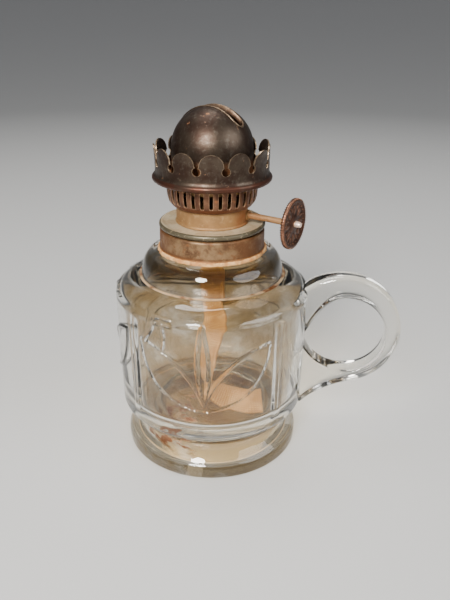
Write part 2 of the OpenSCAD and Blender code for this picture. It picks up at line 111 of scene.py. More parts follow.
def paint(red: int, green: int, blue: int) -> Colour:
    """Turn a colour as seen on a screen into the linear colour of a shader.

    Args:
        red: Red, 0 to 255.
        green: Green, 0 to 255.
        blue: Blue, 0 to 255.

    Returns:
        The linear colour with full alpha.
    """
    linear = [((c / 255 + 0.055) / 1.055) ** 2.4 if c > 10 else c / 3295 for c in (red, green, blue)]
    return (linear[0], linear[1], linear[2], 1.0)


# Node trees


class Wire:
    """An output socket of a node tree, on which sums can be written."""

    def __init__(self, bench: "Bench", socket: bpy.types.NodeSocket | None) -> None:
        """Keep the tree and the socket."""
        self.bench = bench
        self.socket = socket

    def math(self, operation: str, first: "Term", second: "Term" = 0.0) -> "Wire":
        """Add one Math node.

        Args:
            operation: The node's operation.
            first: Its first value.
            second: Its second value.

        Returns:
            The result.
        """
        return self.bench.add("ShaderNodeMath", {"operation": operation}, {0: first, 1: second})

    def __add__(self, other: "Term") -> "Wire":
        """Sum of this and another value."""
        return self.math("ADD", self, other)

    def __radd__(self, other: "Term") -> "Wire":
        """Sum of another value and this."""
        return self.math("ADD", other, self)

    def __sub__(self, other: "Term") -> "Wire":
        """This less another value."""
        return self.math("SUBTRACT", self, other)

    def __rsub__(self, other: "Term") -> "Wire":
        """Another value less this."""
        return self.math("SUBTRACT", other, self)

    def __mul__(self, other: "Term") -> "Wire":
        """Product of this and another value."""
        return self.math("MULTIPLY", self, other)

    def __rmul__(self, other: "Term") -> "Wire":
        """Product of another value and this."""
        return self.math("MULTIPLY", other, self)

    def sine(self) -> "Wire":
        """Sine of this value."""
        return self.math("SINE", self)

    def most(self, other: "Term") -> "Wire":
        """The greater of this and another value."""
        return self.math("MAXIMUM", self, other)

    def step(self, low: float, high: float) -> "Wire":
        """Rise smoothly from 0 at low to 1 at high.

        Args:
            low: Where the rise starts.
            high: Where it ends.

        Returns:
            The share of the rise.
        """
        return self.bench.add(
            "ShaderNodeMapRange",
            {"interpolation_type": "SMOOTHSTEP"},
            {"Value": self, "From Min": low, "From Max": high},
        )


Term = Wire | float


class Bench:
    """A node tree with one method that adds any node."""

    def __init__(self, tree: bpy.types.NodeTree) -> None:
        """Keep the tree."""
        self.tree = tree

    def add(
        self,
        kind: str,
        settings: dict[str, object] | None = None,
        inputs: dict[str | int, object] | None = None,
        out: str | int | None = 0,
    ) -> Wire:
        """Add a node, set it up and connect it.

        Args:
            kind: The node's type.
            settings: Its own settings, set first.
            inputs: Values or wires of its sockets, by name or number.
            out: The output that is wanted, by name or number, or None at a tree's end.

        Returns:
            That output.
        """
        node = self.tree.nodes.new(kind)
        for name, value in (settings or {}).items():
            setattr(node, name, value)
        for key, value in (inputs or {}).items():
            if isinstance(value, Wire):
                self.tree.links.new(value.socket, node.inputs[key])
            else:
                node.inputs[key].default_value = value
        return Wire(self, None if out is None else node.outputs[out])


class ShaderBench(Bench):
    """The node tree of one material."""

    def __init__(self, name: str) -> None:
        """Make an empty material.

        Args:
            name: The material's name.
        """
        self.material = bpy.data.materials.new(name)
        self.material.use_nodes = True
        super().__init__(self.material.node_tree)
        self.tree.nodes.clear()
        self.place = self.add("ShaderNodeTexCoord", out="Object")

    def noise(self, size: float, detail: float = 3.0, stretch: Sequence[float] = (1, 1, 1)) -> Wire:
        """Cloudy noise on the piece's own coordinates.

        Args:
            size: Size of one cloud in millimetres.
            detail: Octaves of finer cloud.
            stretch: How much finer the noise is along each axis.

        Returns:
            The noise, about 0.5.
        """
        vector = self.place
        if tuple(stretch) != (1, 1, 1):
            vector = self.add("ShaderNodeMapping", None, {"Vector": self.place, "Scale": tuple(stretch)})
        inputs = {"Vector": vector, "Scale": 1 / (size * MM), "Detail": detail}
        inputs["Roughness"] = NOISE_ROUGHNESS
        return self.add("ShaderNodeTexNoise", None, inputs, "Fac")

    def mark(self, name: Mark) -> Wire:
        """A value that the mesh carries, or 0 where it has none."""
        return self.add("ShaderNodeAttribute", {"attribute_name": name.value}, None, "Fac")

    def blend(self, share: Term, first: object, second: object) -> Wire:
        """Mix two colours.

        Args:
            share: Share of the second colour.
            first: The first colour.
            second: The second colour.

        Returns:
            The mixed colour.
        """
        return self.add("ShaderNodeMix", {"data_type": "RGBA"}, {0: share, 6: first, 7: second}, 2)

    def bump(self, height: Wire, depth: float) -> Wire:
        """Turn a height into a normal.

        Args:
            height: The height, 0 to 1.
            depth: Its full depth in millimetres.

        Returns:
            The normal.
        """
        return self.add("ShaderNodeBump", None, {"Height": height, "Distance": depth * MM, "Strength": 1.0})

    def close(self, shader: Wire) -> bpy.types.Material:
        """Connect the shader to the material's output.

        Args:
            shader: The finished shader.

        Returns:
            The material.
        """
        self.add("ShaderNodeOutputMaterial", None, {"Surface": shader}, None)
        return self.material

    def surface(self, values: dict[str | int, object]) -> bpy.types.Material:
        """Close the tree with one Principled shader.

        Args:
            values: Values or wires of the shader's sockets.

        Returns:
            The material.
        """
        return self.close(self.add("ShaderNodeBsdfPrincipled", None, values))


class GeometryBench(Bench):
    """A Geometry Nodes tree with named inputs."""

    def __init__(self, name: str, inputs: dict[str, str]) -> None:
        """Make the tree with a geometry input and output.

        Args:
            name: The tree's name.
            inputs: Type of each further input socket, by name.
        """
        super().__init__(bpy.data.node_groups.new(name, "GeometryNodeTree"))
        face = self.tree.interface
        face.new_socket("Geometry", in_out="INPUT", socket_type="NodeSocketGeometry")
        face.new_socket("Geometry", in_out="OUTPUT", socket_type="NodeSocketGeometry")
        self.ids = {
            label: face.new_socket(label, in_out="INPUT", socket_type=kind).identifier
            for label, kind in inputs.items()
        }
        self.inlet = self.tree.nodes.new("NodeGroupInput")

    def given(self, name: str) -> Wire:
        """The tree's input of that name."""
        return Wire(self, self.inlet.outputs[name])

    def close(self, geometry: Wire) -> None:
        """Connect the finished geometry to the tree's output."""
        self.add("NodeGroupOutput", None, {"Geometry": geometry}, None)

    def attach(self, piece: bpy.types.Object, values: dict[str, object]) -> None:
        """Put the tree on a piece as a modifier.

        Args:
            piece: The piece that holds the seed mesh.
            values: Values of the tree's inputs, by name.
        """
        modifier = piece.modifiers.new(self.tree.name, "NODES")
        modifier.node_group = self.tree
        for name, value in values.items():
            modifier[self.ids[name]] = value


# Finishes


@dataclass(frozen=True)
class OldBrass:
    """Sheet brass under an age or heat film, with rust specks and rubbed edges; on the crown the rubbed
    colour is also a painted edge highlight, and the rust tan is partly painted light.
    """

    name: str
    film: Colour
    deep: Colour
    pale: Colour
    bare: Colour
    rust: Colour
    scale: Colour = paint(104, 60, 38)
    patch: float = 7.0
    rust_share: float = 0.3
    roughness: float = 0.42
    metallic: float = 0.75
    grain: float = 0.05
    grit: float = 0.35
    patch_edge: Span = (0.36, 0.64)
    pale_edge: Span = (0.5, 0.78)
    rub_edge: Span = (0.3, 0.6)
    stain_edge: Span = (0.25, 0.6)
    scale_edge: Span = (0.1, 0.9)
    speck_edge: float = 0.74
    speck_soft: float = 0.09

    @cache
    def material(self) -> bpy.types.Material:
        """Build the material.

        Returns:
            The material.
        """
        bench = ShaderBench(self.name)
        patches = bench.noise(self.patch, 5).step(*self.patch_edge)
        mottle = bench.noise(self.patch / 5, 4)
        fine = bench.noise(self.grit, 3)
        edge = self.speck_edge - self.rust_share / 2
        specks = bench.noise(self.patch / 2.5, 6) * 0.8 + fine * 0.2
        specks = specks.step(edge, edge + self.speck_soft)
        # Worn mark: rubbed metal, and on the petal edges a painted highlight.
        wear = bench.mark(Mark.WEAR) * (mottle.step(*self.rub_edge) * 0.75 + 0.25)
        # Inside mark: rust stains, which on the dome's skirt are partly painted light.
        inside = bench.mark(Mark.INSIDE)
        stain = inside * (mottle.step(*self.stain_edge) * 0.6 + 0.4)
        scale = bench.mark(Mark.GRIME) * (patches * 0.6 + mottle * 0.8 + 0.1).step(*self.scale_edge)
        colour = bench.blend(patches, self.film, self.deep)
        colour = bench.blend(mottle.step(*self.pale_edge) * 0.6, colour, self.pale)
        colour = bench.blend(specks.most(stain), colour, self.rust)
        colour = bench.blend(scale, colour, self.scale)
        colour = bench.blend(wear, colour, self.bare)
        rough = self.roughness + patches * 0.1 + specks * 0.22 + inside * 0.15
        rough = rough - wear * 0.1 + fine * 0.12 - 0.06
        metal = self.metallic - specks * 0.45 * self.metallic - inside * 0.4 * self.metallic
        relief = bench.bump(fine * 0.5 + mottle * 0.5 + specks * 0.3, self.grain)
        values = {"Base Color": colour, "Roughness": rough, "Metallic": metal, "Normal": relief}
        return bench.surface(values)


@dataclass(frozen=True)
class PressedGlass:
    """Clear pressed glass with a dry oil film inside and rusty dirt under the foot."""

    name: str
    clear: Colour
    film: Colour
    dust: Colour
    dirt: Colour
    shade: Colour
    index: float = 1.5
    polish: float = 0.012
    cloud: float = 11.0
    cloud_edge: Span = (0.34, 0.66)
    wave: float = 9.0
    wave_depth: float = 0.12
    crust: float = 6.0
    crust_stretch: Place = (1.0, 1.0, 1.6)
    crust_edge: Span = (0.46, 0.6)
    rust_edge: Span = (0.34, 0.5)

    @cache
    def material(self) -> bpy.types.Material:
        """Build the material.

        Returns:
            The material.
        """
        bench = ShaderBench(self.name)
        clouds = bench.noise(self.cloud, 5).step(*self.cloud_edge)
        stain = bench.mark(Mark.INSIDE) * (clouds * 0.6 + 0.4)
        waves = bench.noise(self.wave, 1)
        crust = bench.noise(self.crust, 6, self.crust_stretch)
        dirty = bench.mark(Mark.GRIME)
        grime = (dirty * crust.step(*self.crust_edge)).most(dirty - 1.0).step(0.0, 1.0)
        colour = bench.blend(stain, self.clear, self.film)
        rusty = (crust - dirty * 0.05).step(*self.rust_edge)
        colour = bench.blend(grime, colour, bench.blend(rusty, self.dust, self.dirt))
        glass = bench.add(
            "ShaderNodeBsdfPrincipled",
            None,
            {
                "Base Color": colour,
                "Roughness": self.polish + stain * 0.06 + grime * 0.6 + bench.mark(Mark.WEAR) * 0.4,
                "Metallic": grime * 0.85,
                "IOR": self.index,
                "Transmission Weight": 1.0,
                "Normal": bench.bump(waves, self.wave_depth),
            },
        )
        lamp_ray = bench.add("ShaderNodeLightPath", out="Is Shadow Ray")
        see = bench.add("ShaderNodeBsdfTransparent", None, {"Color": self.shade})
        return bench.close(bench.add("ShaderNodeMixShader", None, {0: lamp_ray, 1: glass, 2: see}))


@dataclass(frozen=True)
class CottonTape:
    """Woven cotton tape, stained by oil and charred at the burning end."""

    name: str
    thread: Colour
    gap: Colour
    stain: Colour
    burnt: Colour
    pitch: float = 0.85
    spot: float = 6.0
    spot_edge: Span = (0.42, 0.66)
    fuzz: float = 0.4
    fuzz_edge: Span = (0.25, 0.6)
    relief: float = 0.14
    roughness: float = 0.86
    gloss: float = 0.15
    sheen: float = 0.05

    @cache
    def material(self) -> bpy.types.Material:
        """Build the material on the tape's UV map, which is in millimetres.

        Returns:
            The material.
        """
        bench = ShaderBench(self.name)
        flat = bench.add("ShaderNodeTexCoord", out="UV")
        across = bench.add("ShaderNodeSeparateXYZ", None, {0: flat}, 0)
        along = bench.add("ShaderNodeSeparateXYZ", None, {0: flat}, 1)
        turn = math.pi / self.pitch
        weave = (across * turn).sine() * (along * turn).sine()
        weave = weave * weave
        stains = bench.noise(self.spot, 5).step(*self.spot_edge)
        fuzz = bench.noise(self.fuzz, 3)
        burn = bench.mark(Mark.CHAR) * (fuzz.step(*self.fuzz_edge) * 0.25 + 0.75)
        colour = bench.blend(weave, self.gap, self.thread)
        colour = bench.blend(stains * 0.7, colour, self.stain)
        colour = bench.blend(burn, colour, self.burnt)
        return bench.surface(
            {
                "Base Color": colour,
                "Roughness": self.roughness - stains * 0.12,
                "Specular IOR Level": self.gloss,
                "Sheen Weight": self.sheen,
                "Normal": bench.bump(weave * 0.7 + fuzz * 0.6, self.relief),
            }
        )


@dataclass(frozen=True)
class DryPaste:
    """Matt material with a grain, such as plaster or leather."""

    name: str
    body: Colour
    patch: Colour
    dirt: Colour
    clouds: float = 3.0
    roughness: float = 0.82
    grain: float = 0.12
    grit: float = 0.4
    cloud_edge: Span = (0.38, 0.62)
    speck: float = 1.4
    speck_edge: Span = (0.58, 0.72)

    @cache
    def material(self) -> bpy.types.Material:
        """Build the material.

        Returns:
            The material.
        """
        bench = ShaderBench(self.name)
        clouds = bench.noise(self.clouds, 4)
        fine = bench.noise(self.grit, 3)
        specks = bench.noise(self.speck, 4).step(*self.speck_edge)
        colour = bench.blend(clouds.step(*self.cloud_edge), self.body, self.patch)
        colour = bench.blend(specks * 0.8, colour, self.dirt)
        rough = self.roughness - fine * 0.15
        relief = bench.bump(fine * 0.6 + clouds * 0.4, self.grain)
        return bench.surface({"Base Color": colour, "Roughness": rough, "Normal": relief})


GLASS = PressedGlass(
    "pressed_glass",
    clear=(0.965, 0.948, 0.893, 1.0),
    film=(0.4, 0.275, 0.125, 1.0),
    dust=paint(228, 200, 160),
    dirt=paint(126, 74, 34),
    shade=(0.88, 0.86, 0.81, 1.0),
)
CROWN_BRASS = OldBrass(
    "heat_dark_brass",
    film=paint(74, 63, 53),
    deep=paint(54, 39, 31),
    pale=paint(98, 90, 80),
    # bare: rubbed brass, and on the petal edges a painted highlight
    bare=paint(144, 123, 99),
    # rust: rust specks, and the tan inside the crown that is partly painted light where the shaded floor and
    # skirt show through the keyholes
    rust=paint(158, 106, 68),
    scale=paint(80, 48, 36),
    rust_share=0.2,
    roughness=0.36,
    metallic=0.85,
)
BASKET_BRASS = OldBrass(
    "copper_brown_brass",
    film=paint(112, 78, 56),
    deep=paint(76, 47, 32),
    pale=paint(142, 104, 78),
    bare=paint(196, 156, 122),
    rust=paint(142, 86, 46),
    patch=5.0,
    rust_share=0.34,
    roughness=0.4,
    metallic=0.7,
)
DRUM_BRASS = OldBrass(
    "ochre_brass",
    film=paint(153, 117, 74),
    deep=paint(134, 100, 62),
    pale=paint(186, 152, 108),
    bare=paint(206, 170, 124),
    rust=paint(140, 82, 40),
    scale=paint(140, 84, 44),
    rust_share=0.24,
    roughness=0.52,
    metallic=0.45,
)
CAP_BRASS = OldBrass(
    "pale_plate_brass",
    film=paint(206, 190, 158),
    deep=paint(182, 160, 126),
    pale=paint(218, 206, 178),
    bare=paint(88, 80, 62),
    rust=paint(150, 108, 66),
    scale=paint(146, 112, 66),
    patch=6.0,
    rust_share=0.16,
    roughness=0.5,
    metallic=0.5,
)
COLLAR_BRASS = OldBrass(
    "brown_collar_brass",
    film=paint(136, 108, 76),
    deep=paint(88, 60, 37),
    pale=paint(156, 126, 90),
    bare=paint(160, 108, 64),
    rust=paint(116, 76, 42),
    scale=paint(104, 66, 36),
    patch=4.5,
    rust_share=0.36,
    roughness=0.46,
    metallic=0.55,
)
WHEEL_COPPER = OldBrass(
    "red_brown_copper",
    film=paint(80, 52, 39),
    deep=paint(54, 34, 26),
    pale=paint(102, 71, 54),
    bare=paint(152, 108, 84),
    rust=paint(112, 70, 42),
    patch=3.0,
    rust_share=0.3,
    roughness=0.36,
    metallic=0.8,
)
SHAFT_WIRE = OldBrass(
    "tan_drawn_wire",
    film=paint(176, 136, 94),
    deep=paint(150, 108, 70),
    pale=paint(196, 160, 120),
    bare=paint(232, 206, 190),
    rust=paint(150, 96, 56),
    patch=4.0,
    rust_share=0.24,
    roughness=0.42,
    metallic=0.55,
)
INNER_BRASS = OldBrass(
    "dull_sheet_brass",
    film=paint(138, 108, 66),
    deep=paint(104, 78, 46),
    pale=paint(166, 136, 92),
    bare=paint(196, 164, 112),
    rust=paint(118, 74, 38),
    rust_share=0.28,
    roughness=0.45,
    metallic=0.7,
)
PLASTER = DryPaste(
    "cream_plaster",
    body=paint(214, 168, 110),
    patch=paint(182, 122, 66),
    dirt=paint(132, 80, 42),
    clouds=2.0,
)
LEATHER = DryPaste(
    "dry_leather",
    body=paint(92, 66, 44),
    patch=paint(74, 50, 33),
    dirt=paint(52, 35, 24),
    clouds=2.0,
    roughness=0.75,
    grain=0.1,
)
COTTON = CottonTape(
    "wick_cotton",
    thread=paint(202, 174, 130),
    gap=paint(146, 114, 74),
    stain=paint(170, 134, 90),
    burnt=paint(30, 24, 20),
)


# Shapes


def arc(centre: Spot, radius: float, start: float, end: float, steps: int = 12) -> Outline:
    """Points on a circle's arc.

    Args:
        centre: Its centre.
        radius: Its radius.
        start: Angle of the first point in degrees.
        end: Angle of the last point.
        steps: Number of stretches.

    Returns:
        The points.
    """
    angles = np.radians(np.linspace(start, end, steps + 1))
    return [(centre[0] + radius * math.cos(a), centre[1] + radius * math.sin(a)) for a in angles]


def bend(start: Sequence[float], pull: Sequence[float], end: Sequence[float], steps: int = 12) -> Outline:
    """Points on a curve that leaves start towards pull and arrives at end from pull.

    Args:
        start: First point.
        pull: The point that the curve is drawn towards.
        end: Last point.
        steps: Number of stretches.

    Returns:
        The points.
    """
    t = np.linspace(0, 1, steps + 1)[:, None]
    curve = (1 - t) ** 2 * np.array(start) + 2 * t * (1 - t) * np.array(pull) + t**2 * np.array(end)
    return [tuple(p) for p in curve]


def line(start: Sequence[float], end: Sequence[float], steps: int) -> Outline:
    """Evenly spaced points on a straight line.

    Args:
        start: First point.
        end: Last point.
        steps: Number of stretches.

    Returns:
        The points.
    """
    t = np.linspace(0, 1, steps + 1)[:, None]
    return [tuple(p) for p in (1 - t) * np.array(start) + t * np.array(end)]


def corners(node: str) -> tuple[Vector, Vector]:
    """Lowest and highest corner of a CAD node in millimetres."""
    low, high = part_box(node)
    return low / MM, high / MM


def link_mesh(name: str, points: np.ndarray, faces: Sequence[Sequence[int]]) -> bpy.types.Object:
    """Make a mesh object from points in millimetres.

    Args:
        name: The piece's name.
        points: Its points.
        faces: Its faces.

    Returns:
        The object, linked to the scene.
    """
    mesh = bpy.data.meshes.new(name)
    mesh.from_pydata((points * MM).tolist(), [], faces)
    mesh.validate()
    piece = bpy.data.objects.new(name, mesh)
    bpy.context.collection.objects.link(piece)
    return piece


def make_piece(name: str, points: np.ndarray, faces: Sequence[Sequence[int]]) -> bpy.types.Object:
    """Make a closed mesh object, with its faces turned outwards.

    Args:
        name: The piece's name.
        points: Its points in millimetres.
        faces: Its faces, all wound the same way.

    Returns:
        The object, linked to the scene.
    """
    fans = np.array([(f[0], b, c) for f in faces for b, c in zip(f[1:-1], f[2:])])
    a, b, c = points[fans[:, 0]], points[fans[:, 1]], points[fans[:, 2]]
    turned_in = np.einsum("ij,ij->", a, np.cross(b, c)) < 0
    return link_mesh(name, points, [f[::-1] for f in faces] if turned_in else faces)


def add_mark(piece: bpy.types.Object, name: Mark, values: np.ndarray) -> None:
    """Write a value on each point of a piece.

    Args:
        piece: The piece.
        name: The value's name.
        values: One value for each point.
    """
    mark = piece.data.attributes.new(name.value, "FLOAT", "POINT")
    mark.data.foreach_set("value", np.asarray(values, np.float32))


def polar(piece: bpy.types.Object) -> tuple[np.ndarray, np.ndarray, np.ndarray]:
    """Where a piece's points are about the lamp's axis.

    Args:
        piece: The piece.

    Returns:
        Each point's angle from the front towards the loop, its radius and its height.
    """
    points = np.empty(len(piece.data.vertices) * 3, np.float32)
    piece.data.vertices.foreach_get("co", points)
    x, y, z = points.reshape(-1, 3).T / MM
    return np.degrees(np.arctan2(x, -y)), np.hypot(x, y), z


def smooth(piece: bpy.types.Object, angle: float = 40) -> None:
    """Shade a piece smooth, with edges sharper than the angle left sharp."""
    piece.data.shade_smooth()
    piece.data.set_sharp_from_angle(angle=math.radians(angle))


def ring_faces(low: np.ndarray, high: np.ndarray) -> list[list[int]]:
    """Faces between two rings of points.

    Args:
        low: Numbers of one ring's points; a ring of one point is a pole.
        high: The other ring's, as many, or a whole number of times more or fewer.

    Returns:
        The faces, all wound the same way.
    """
    if len(low) > len(high) > 1:
        return [face[::-1] for face in ring_faces(high, low)]
    near = np.repeat(low, len(high)) if len(low) == 1 else low
    far = np.repeat(high, len(low)) if len(high) == 1 else high
    share = len(far) // len(near)
    faces = []
    for k in range(len(near)):
        rim = [int(far[(k * share + j) % len(far)]) for j in range(share, -1, -1)]
        faces.append(list(dict.fromkeys([int(near[k]), int(near[(k + 1) % len(near)]), *rim])))
    return faces


def skin_faces(rows: Sequence[np.ndarray], closed: bool) -> list[list[int]]:
    """Faces between each ring of points and the next.

    Args:
        rows: Numbers of each ring's points.
        closed: Whether the last ring joins the first.

    Returns:
        The faces, all wound the same way.
    """
    pairs = list(zip(rows[:-1], rows[1:])) + ([(rows[-1], rows[0])] if closed else [])
    return [face for low, high in pairs for face in ring_faces(low, high)]


def turn_outline(
    name: str,
    outline: Outline,
    segments: int | Sequence[int],
    swell: Swell | None = None,
    closed: bool = True,
    marks: dict[Mark, Sequence[float]] | None = None,
) -> bpy.types.Object:
    """Carry an outline round the Z axis.

    Args:
        name: The piece's name.
        outline: Points of radius and height; a point on the axis becomes a pole.
        segments: Steps round the axis, for all points or for each.
        swell: Adds to the radius at angles, for a point of the outline.
        closed: Whether the last point joins the first.
        marks: Values for each point of the outline, by name.

    Returns:
        The piece.
    """
    counts = [segments] * len(outline) if isinstance(segments, int) else segments
    points: list[np.ndarray] = []
    rows: list[np.ndarray] = []
    owner: list[int] = []
    for index, ((radius, height), count) in enumerate(zip(outline, counts)):
        steps = 1 if radius < TINY else count
        turn = np.linspace(0, 2 * math.pi, steps, endpoint=False)
        reach = np.full(steps, float(radius))
        if swell is not None and steps > 1:
            reach = reach + swell(turn, radius, height)
        level = np.full(steps, float(height))
        points.append(np.stack([reach * np.cos(turn), reach * np.sin(turn), level], 1))
        rows.append(np.arange(len(owner), len(owner) + steps))
        owner.extend([index] * steps)
    piece = make_piece(name, np.concatenate(points), skin_faces(rows, closed))
    for mark, values in (marks or {}).items():
        add_mark(piece, mark, np.asarray(values, float)[owner])
    return piece


def loft(name: str, sections: Sequence[np.ndarray], loop: bool = False) -> bpy.types.Object:
    """Join sections of equal count into one closed skin.

    Args:
        name: The piece's name.
        sections: Rings of points.
        loop: Whether the last section joins the first; otherwise both ends are capped.

    Returns:
        The piece.
    """
    rows = np.arange(len(sections) * len(sections[0])).reshape(len(sections), -1)
    faces = skin_faces(rows, loop)
    if not loop:
        faces += [rows[0][::-1].tolist(), rows[-1].tolist()]
    return make_piece(name, np.concatenate(sections), faces)


def bake_modifiers(piece: bpy.types.Object) -> None:
    """Turn a piece and its modifiers into one plain mesh.

    Args:
        piece: The piece.
    """
    graph = bpy.context.evaluated_depsgraph_get()
    mesh = bpy.data.meshes.new_from_object(piece.evaluated_get(graph))
    piece.modifiers.clear()
    plain = piece.data
    piece.data = mesh
    mesh.name = piece.name
    bpy.data.meshes.remove(plain)


def thicken(piece: bpy.types.Object, thickness: float) -> None:
    """Give a sheet its thickness, half on each side.

    Args:
        piece: The sheet.
        thickness: Its thickness in millimetres.
    """
    solid = piece.modifiers.new("sheet", "SOLIDIFY")
    solid.thickness = thickness * MM
    solid.offset = 0
    solid.use_even_offset = True


def combine(piece: bpy.types.Object, tool: bpy.types.Object, operation: str) -> None:
    """Join a tool to a piece, or cut it away, and delete the tool.

    Args:
        piece: The piece that is kept.
        tool: The shape that is used up.
        operation: UNION or DIFFERENCE.
    """
    boolean = piece.modifiers.new("combine", "BOOLEAN")
    boolean.operation = operation
    boolean.solver = "EXACT"
    boolean.object = tool
    bake_modifiers(piece)
    bpy.data.objects.remove(tool)


def gather(piece: bpy.types.Object, others: Sequence[bpy.types.Object]) -> None:
    """Join further meshes to a piece.

    Args:
        piece: The piece that is kept.
        others: Pieces that become part of it.
    """
    with bpy.context.temp_override(active_object=piece, selected_editable_objects=[piece, *others]):
        bpy.ops.object.join()


def coat(piece: bpy.types.Object, material: bpy.types.Material) -> None:
    """Give a piece its one finish."""
    piece.data.materials.clear()
    piece.data.materials.append(material)


def settle(
    piece: bpy.types.Object, material: bpy.types.Material, body: Body, slot: str, *nodes: str
) -> None:
    """Give a piece its finish, its body and the nodes that it stands for.

    Args:
        piece: The piece.
        material: Its finish.
        body: The body that it moves with.
        slot: The record's material slot; not used.
        nodes: CAD nodes that it replaces.
    """
    coat(piece, material)
    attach(piece, body.value)
    if nodes:
        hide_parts(*nodes)
    LOG.info("%s: %d faces on %s", piece.name, len(piece.data.polygons), body.value)


def dress_nodes(material: bpy.types.Material, *nodes: str) -> None:
    """Give CAD nodes a finish.

    Args:
        material: The finish.
        nodes: Names of the nodes.
    """
    for node in nodes:
        coat(frame["nodes"][node], material)
        LOG.info("%s: dressed with %s", node, material.name)


def ring_tree() -> GeometryBench:
    """A tree that sets copies of a seed mesh round the Z axis and leans them out.

    Returns:
        The tree.
    """
    tree = GeometryBench(
        "ring_of_copies",
        {
            "Count": "NodeSocketInt",
            "Start": "NodeSocketFloat",
            "Lean": "NodeSocketFloat",
            "Lean Foot": "NodeSocketFloat",
            "Lean Top": "NodeSocketFloat",
            "Seed": "NodeSocketInt",
            "Finish": "NodeSocketMaterial",
        },
    )
    count = tree.given("Count")
    index = tree.add("GeometryNodeInputIndex")
    angle = index.math("DIVIDE", index * (2 * math.pi), count) + tree.given("Start")
    euler = tree.add("ShaderNodeCombineXYZ", None, {"Z": angle})
    spin = tree.add("FunctionNodeEulerToRotation", None, {0: euler})
    points = tree.add("GeometryNodeMeshLine", None, {"Count": count, "Offset": (0, 0, 0)})
    copies = tree.add(
        "GeometryNodeInstanceOnPoints",
        None,
        {"Points": points, "Instance": tree.given("Geometry"), "Rotation": spin},
    )
    chance = tree.add(
        "FunctionNodeRandomValue",
        {"data_type": "FLOAT"},
        {2: LEAN_SHARES[0], 3: LEAN_SHARES[1], "ID": index, "Seed": tree.given("Seed")},
        1,
    )
    copies = tree.add(
        "GeometryNodeStoreNamedAttribute",
        {"data_type": "FLOAT", "domain": "INSTANCE"},
        {"Geometry": copies, "Name": "lean", "Value": chance},
    )
    solid = tree.add("GeometryNodeRealizeInstances", None, {"Geometry": copies})
    solid = tree.add("GeometryNodeMergeByDistance", None, {"Geometry": solid, "Distance": WELD * MM})
    place = tree.add("GeometryNodeInputPosition")
    height = tree.add("ShaderNodeSeparateXYZ", None, {0: place}, 2)
    rise = tree.add(
        "ShaderNodeMapRange",
        None,
        {"Value": height, "From Min": tree.given("Lean Foot"), "From Max": tree.given("Lean Top")},
    )
    chance = tree.add("GeometryNodeInputNamedAttribute", {"data_type": "FLOAT"}, {"Name": "lean"})
    flat = tree.add("ShaderNodeVectorMath", {"operation": "MULTIPLY"}, {0: place, 1: (1, 1, 0)})
    out = tree.add("ShaderNodeVectorMath", {"operation": "NORMALIZE"}, {0: flat})
    shift = tree.add(
        "ShaderNodeVectorMath",
        {"operation": "SCALE"},
        {0: out, "Scale": chance * tree.given("Lean") * rise * rise},
    )
    solid = tree.add("GeometryNodeSetPosition", None, {"Geometry": solid, "Offset": shift})
    solid = tree.add("GeometryNodeSetMaterial", None, {"Geometry": solid, "Material": tree.given("Finish")})
    tree.close(solid)
    return tree


@dataclass(frozen=True)
class RingMaker:
    """Sets copies of a seed round the lamp's axis."""

    tree: GeometryBench = field(default_factory=ring_tree)

    def cast(
        self,
        seed: bpy.types.Object,
        count: int,
        material: bpy.types.Material,
        start: float = 0.0,
        lean: Place = (0.0, 0.0, 1.0),
        thickness: float = 0.0,
        chance: int = 4,
    ) -> None:
        """Turn a seed into the whole ring.

        Args:
            seed: The piece that holds one copy.
            count: Number of copies.
            material: Finish of the ring.
            start: Angle of the first copy in degrees.
            lean: Greatest lean at the top, height where it starts and height of the top.
            thickness: Sheet thickness to add, or 0 for a solid seed.
            chance: Seed of the random lean.
        """
        self.tree.attach(
            seed,
            {
                "Count": count,
                "Start": math.radians(start),
                "Lean": lean[0] * MM,
                "Lean Foot": lean[1] * MM,
                "Lean Top": lean[2] * MM,
                "Seed": chance,
                "Finish": material,
            },
        )
        if thickness:
            thicken(seed, thickness)
        bake_modifiers(seed)


def sheet_sector(
    name: str, rows: Sequence[Place], shares: Sequence[float], bow: float = 0.0
) -> bpy.types.Object:
    """One copy of a slit sheet ring, facing +X.

    Args:
        name: The piece's name.
        rows: Radius, height and half width, as an angle in radians, up the sheet.
        shares: Places of the columns across the half width, from -1 to 1.
        bow: How far the middle of a slit row stands out.

    Returns:
        The sheet, with its slit edges marked as worn; on the crown's petals this mark also paints a
        highlight along the edges.
    """
    widest = max(half for _, _, half in rows)
    points: list[Place] = []
    wear: list[float] = []
    for radius, height, half in rows:
        slit = half < widest - TINY
        for share in shares:
            reach = radius + (bow * (1 - share * share) if slit else 0.0)
            points.append((reach * math.cos(share * half), reach * math.sin(share * half), height))
            # Slit edges get the worn mark, painted in the bare metal colour: rubbed metal, and on the
            # crown's petals a painted highlight where the edges catch the light.
            wear.append(1.0 if slit and abs(share) == 1 else 0.0)
    columns = len(shares)
    faces = [
        [r * columns + c, r * columns + c + 1, (r + 1) * columns + c + 1, (r + 1) * columns + c]
        for r in range(len(rows) - 1)
        for c in range(columns - 1)
    ]
    piece = link_mesh(name, np.array(points), faces)
    add_mark(piece, Mark.WEAR, np.array(wear))
    return piece


# Studio


@dataclass(frozen=True)
class SoftBox:
    """One soft light that faces the lamp."""

    name: str
    place: Place
    size: Span
    power: float
    tint: Place

    def hang(self, target: Vector) -> None:
        """Hang the light.

        Args:
            target: The point that it faces, in millimetres.
        """
        light = bpy.data.lights.new(self.name, "AREA")
        light.shape = "ELLIPSE"
        light.size, light.size_y = (side * MM for side in self.size)
        light.energy = self.power
        light.color = self.tint
        box = bpy.data.objects.new(self.name, light)
        aim = target - Vector(self.place)
        turn = aim.to_track_quat("-Z", "Y").to_matrix().to_4x4()
        box.matrix_world = Matrix.Translation(Vector(self.place) * MM) @ turn
        bpy.context.collection.objects.link(box)


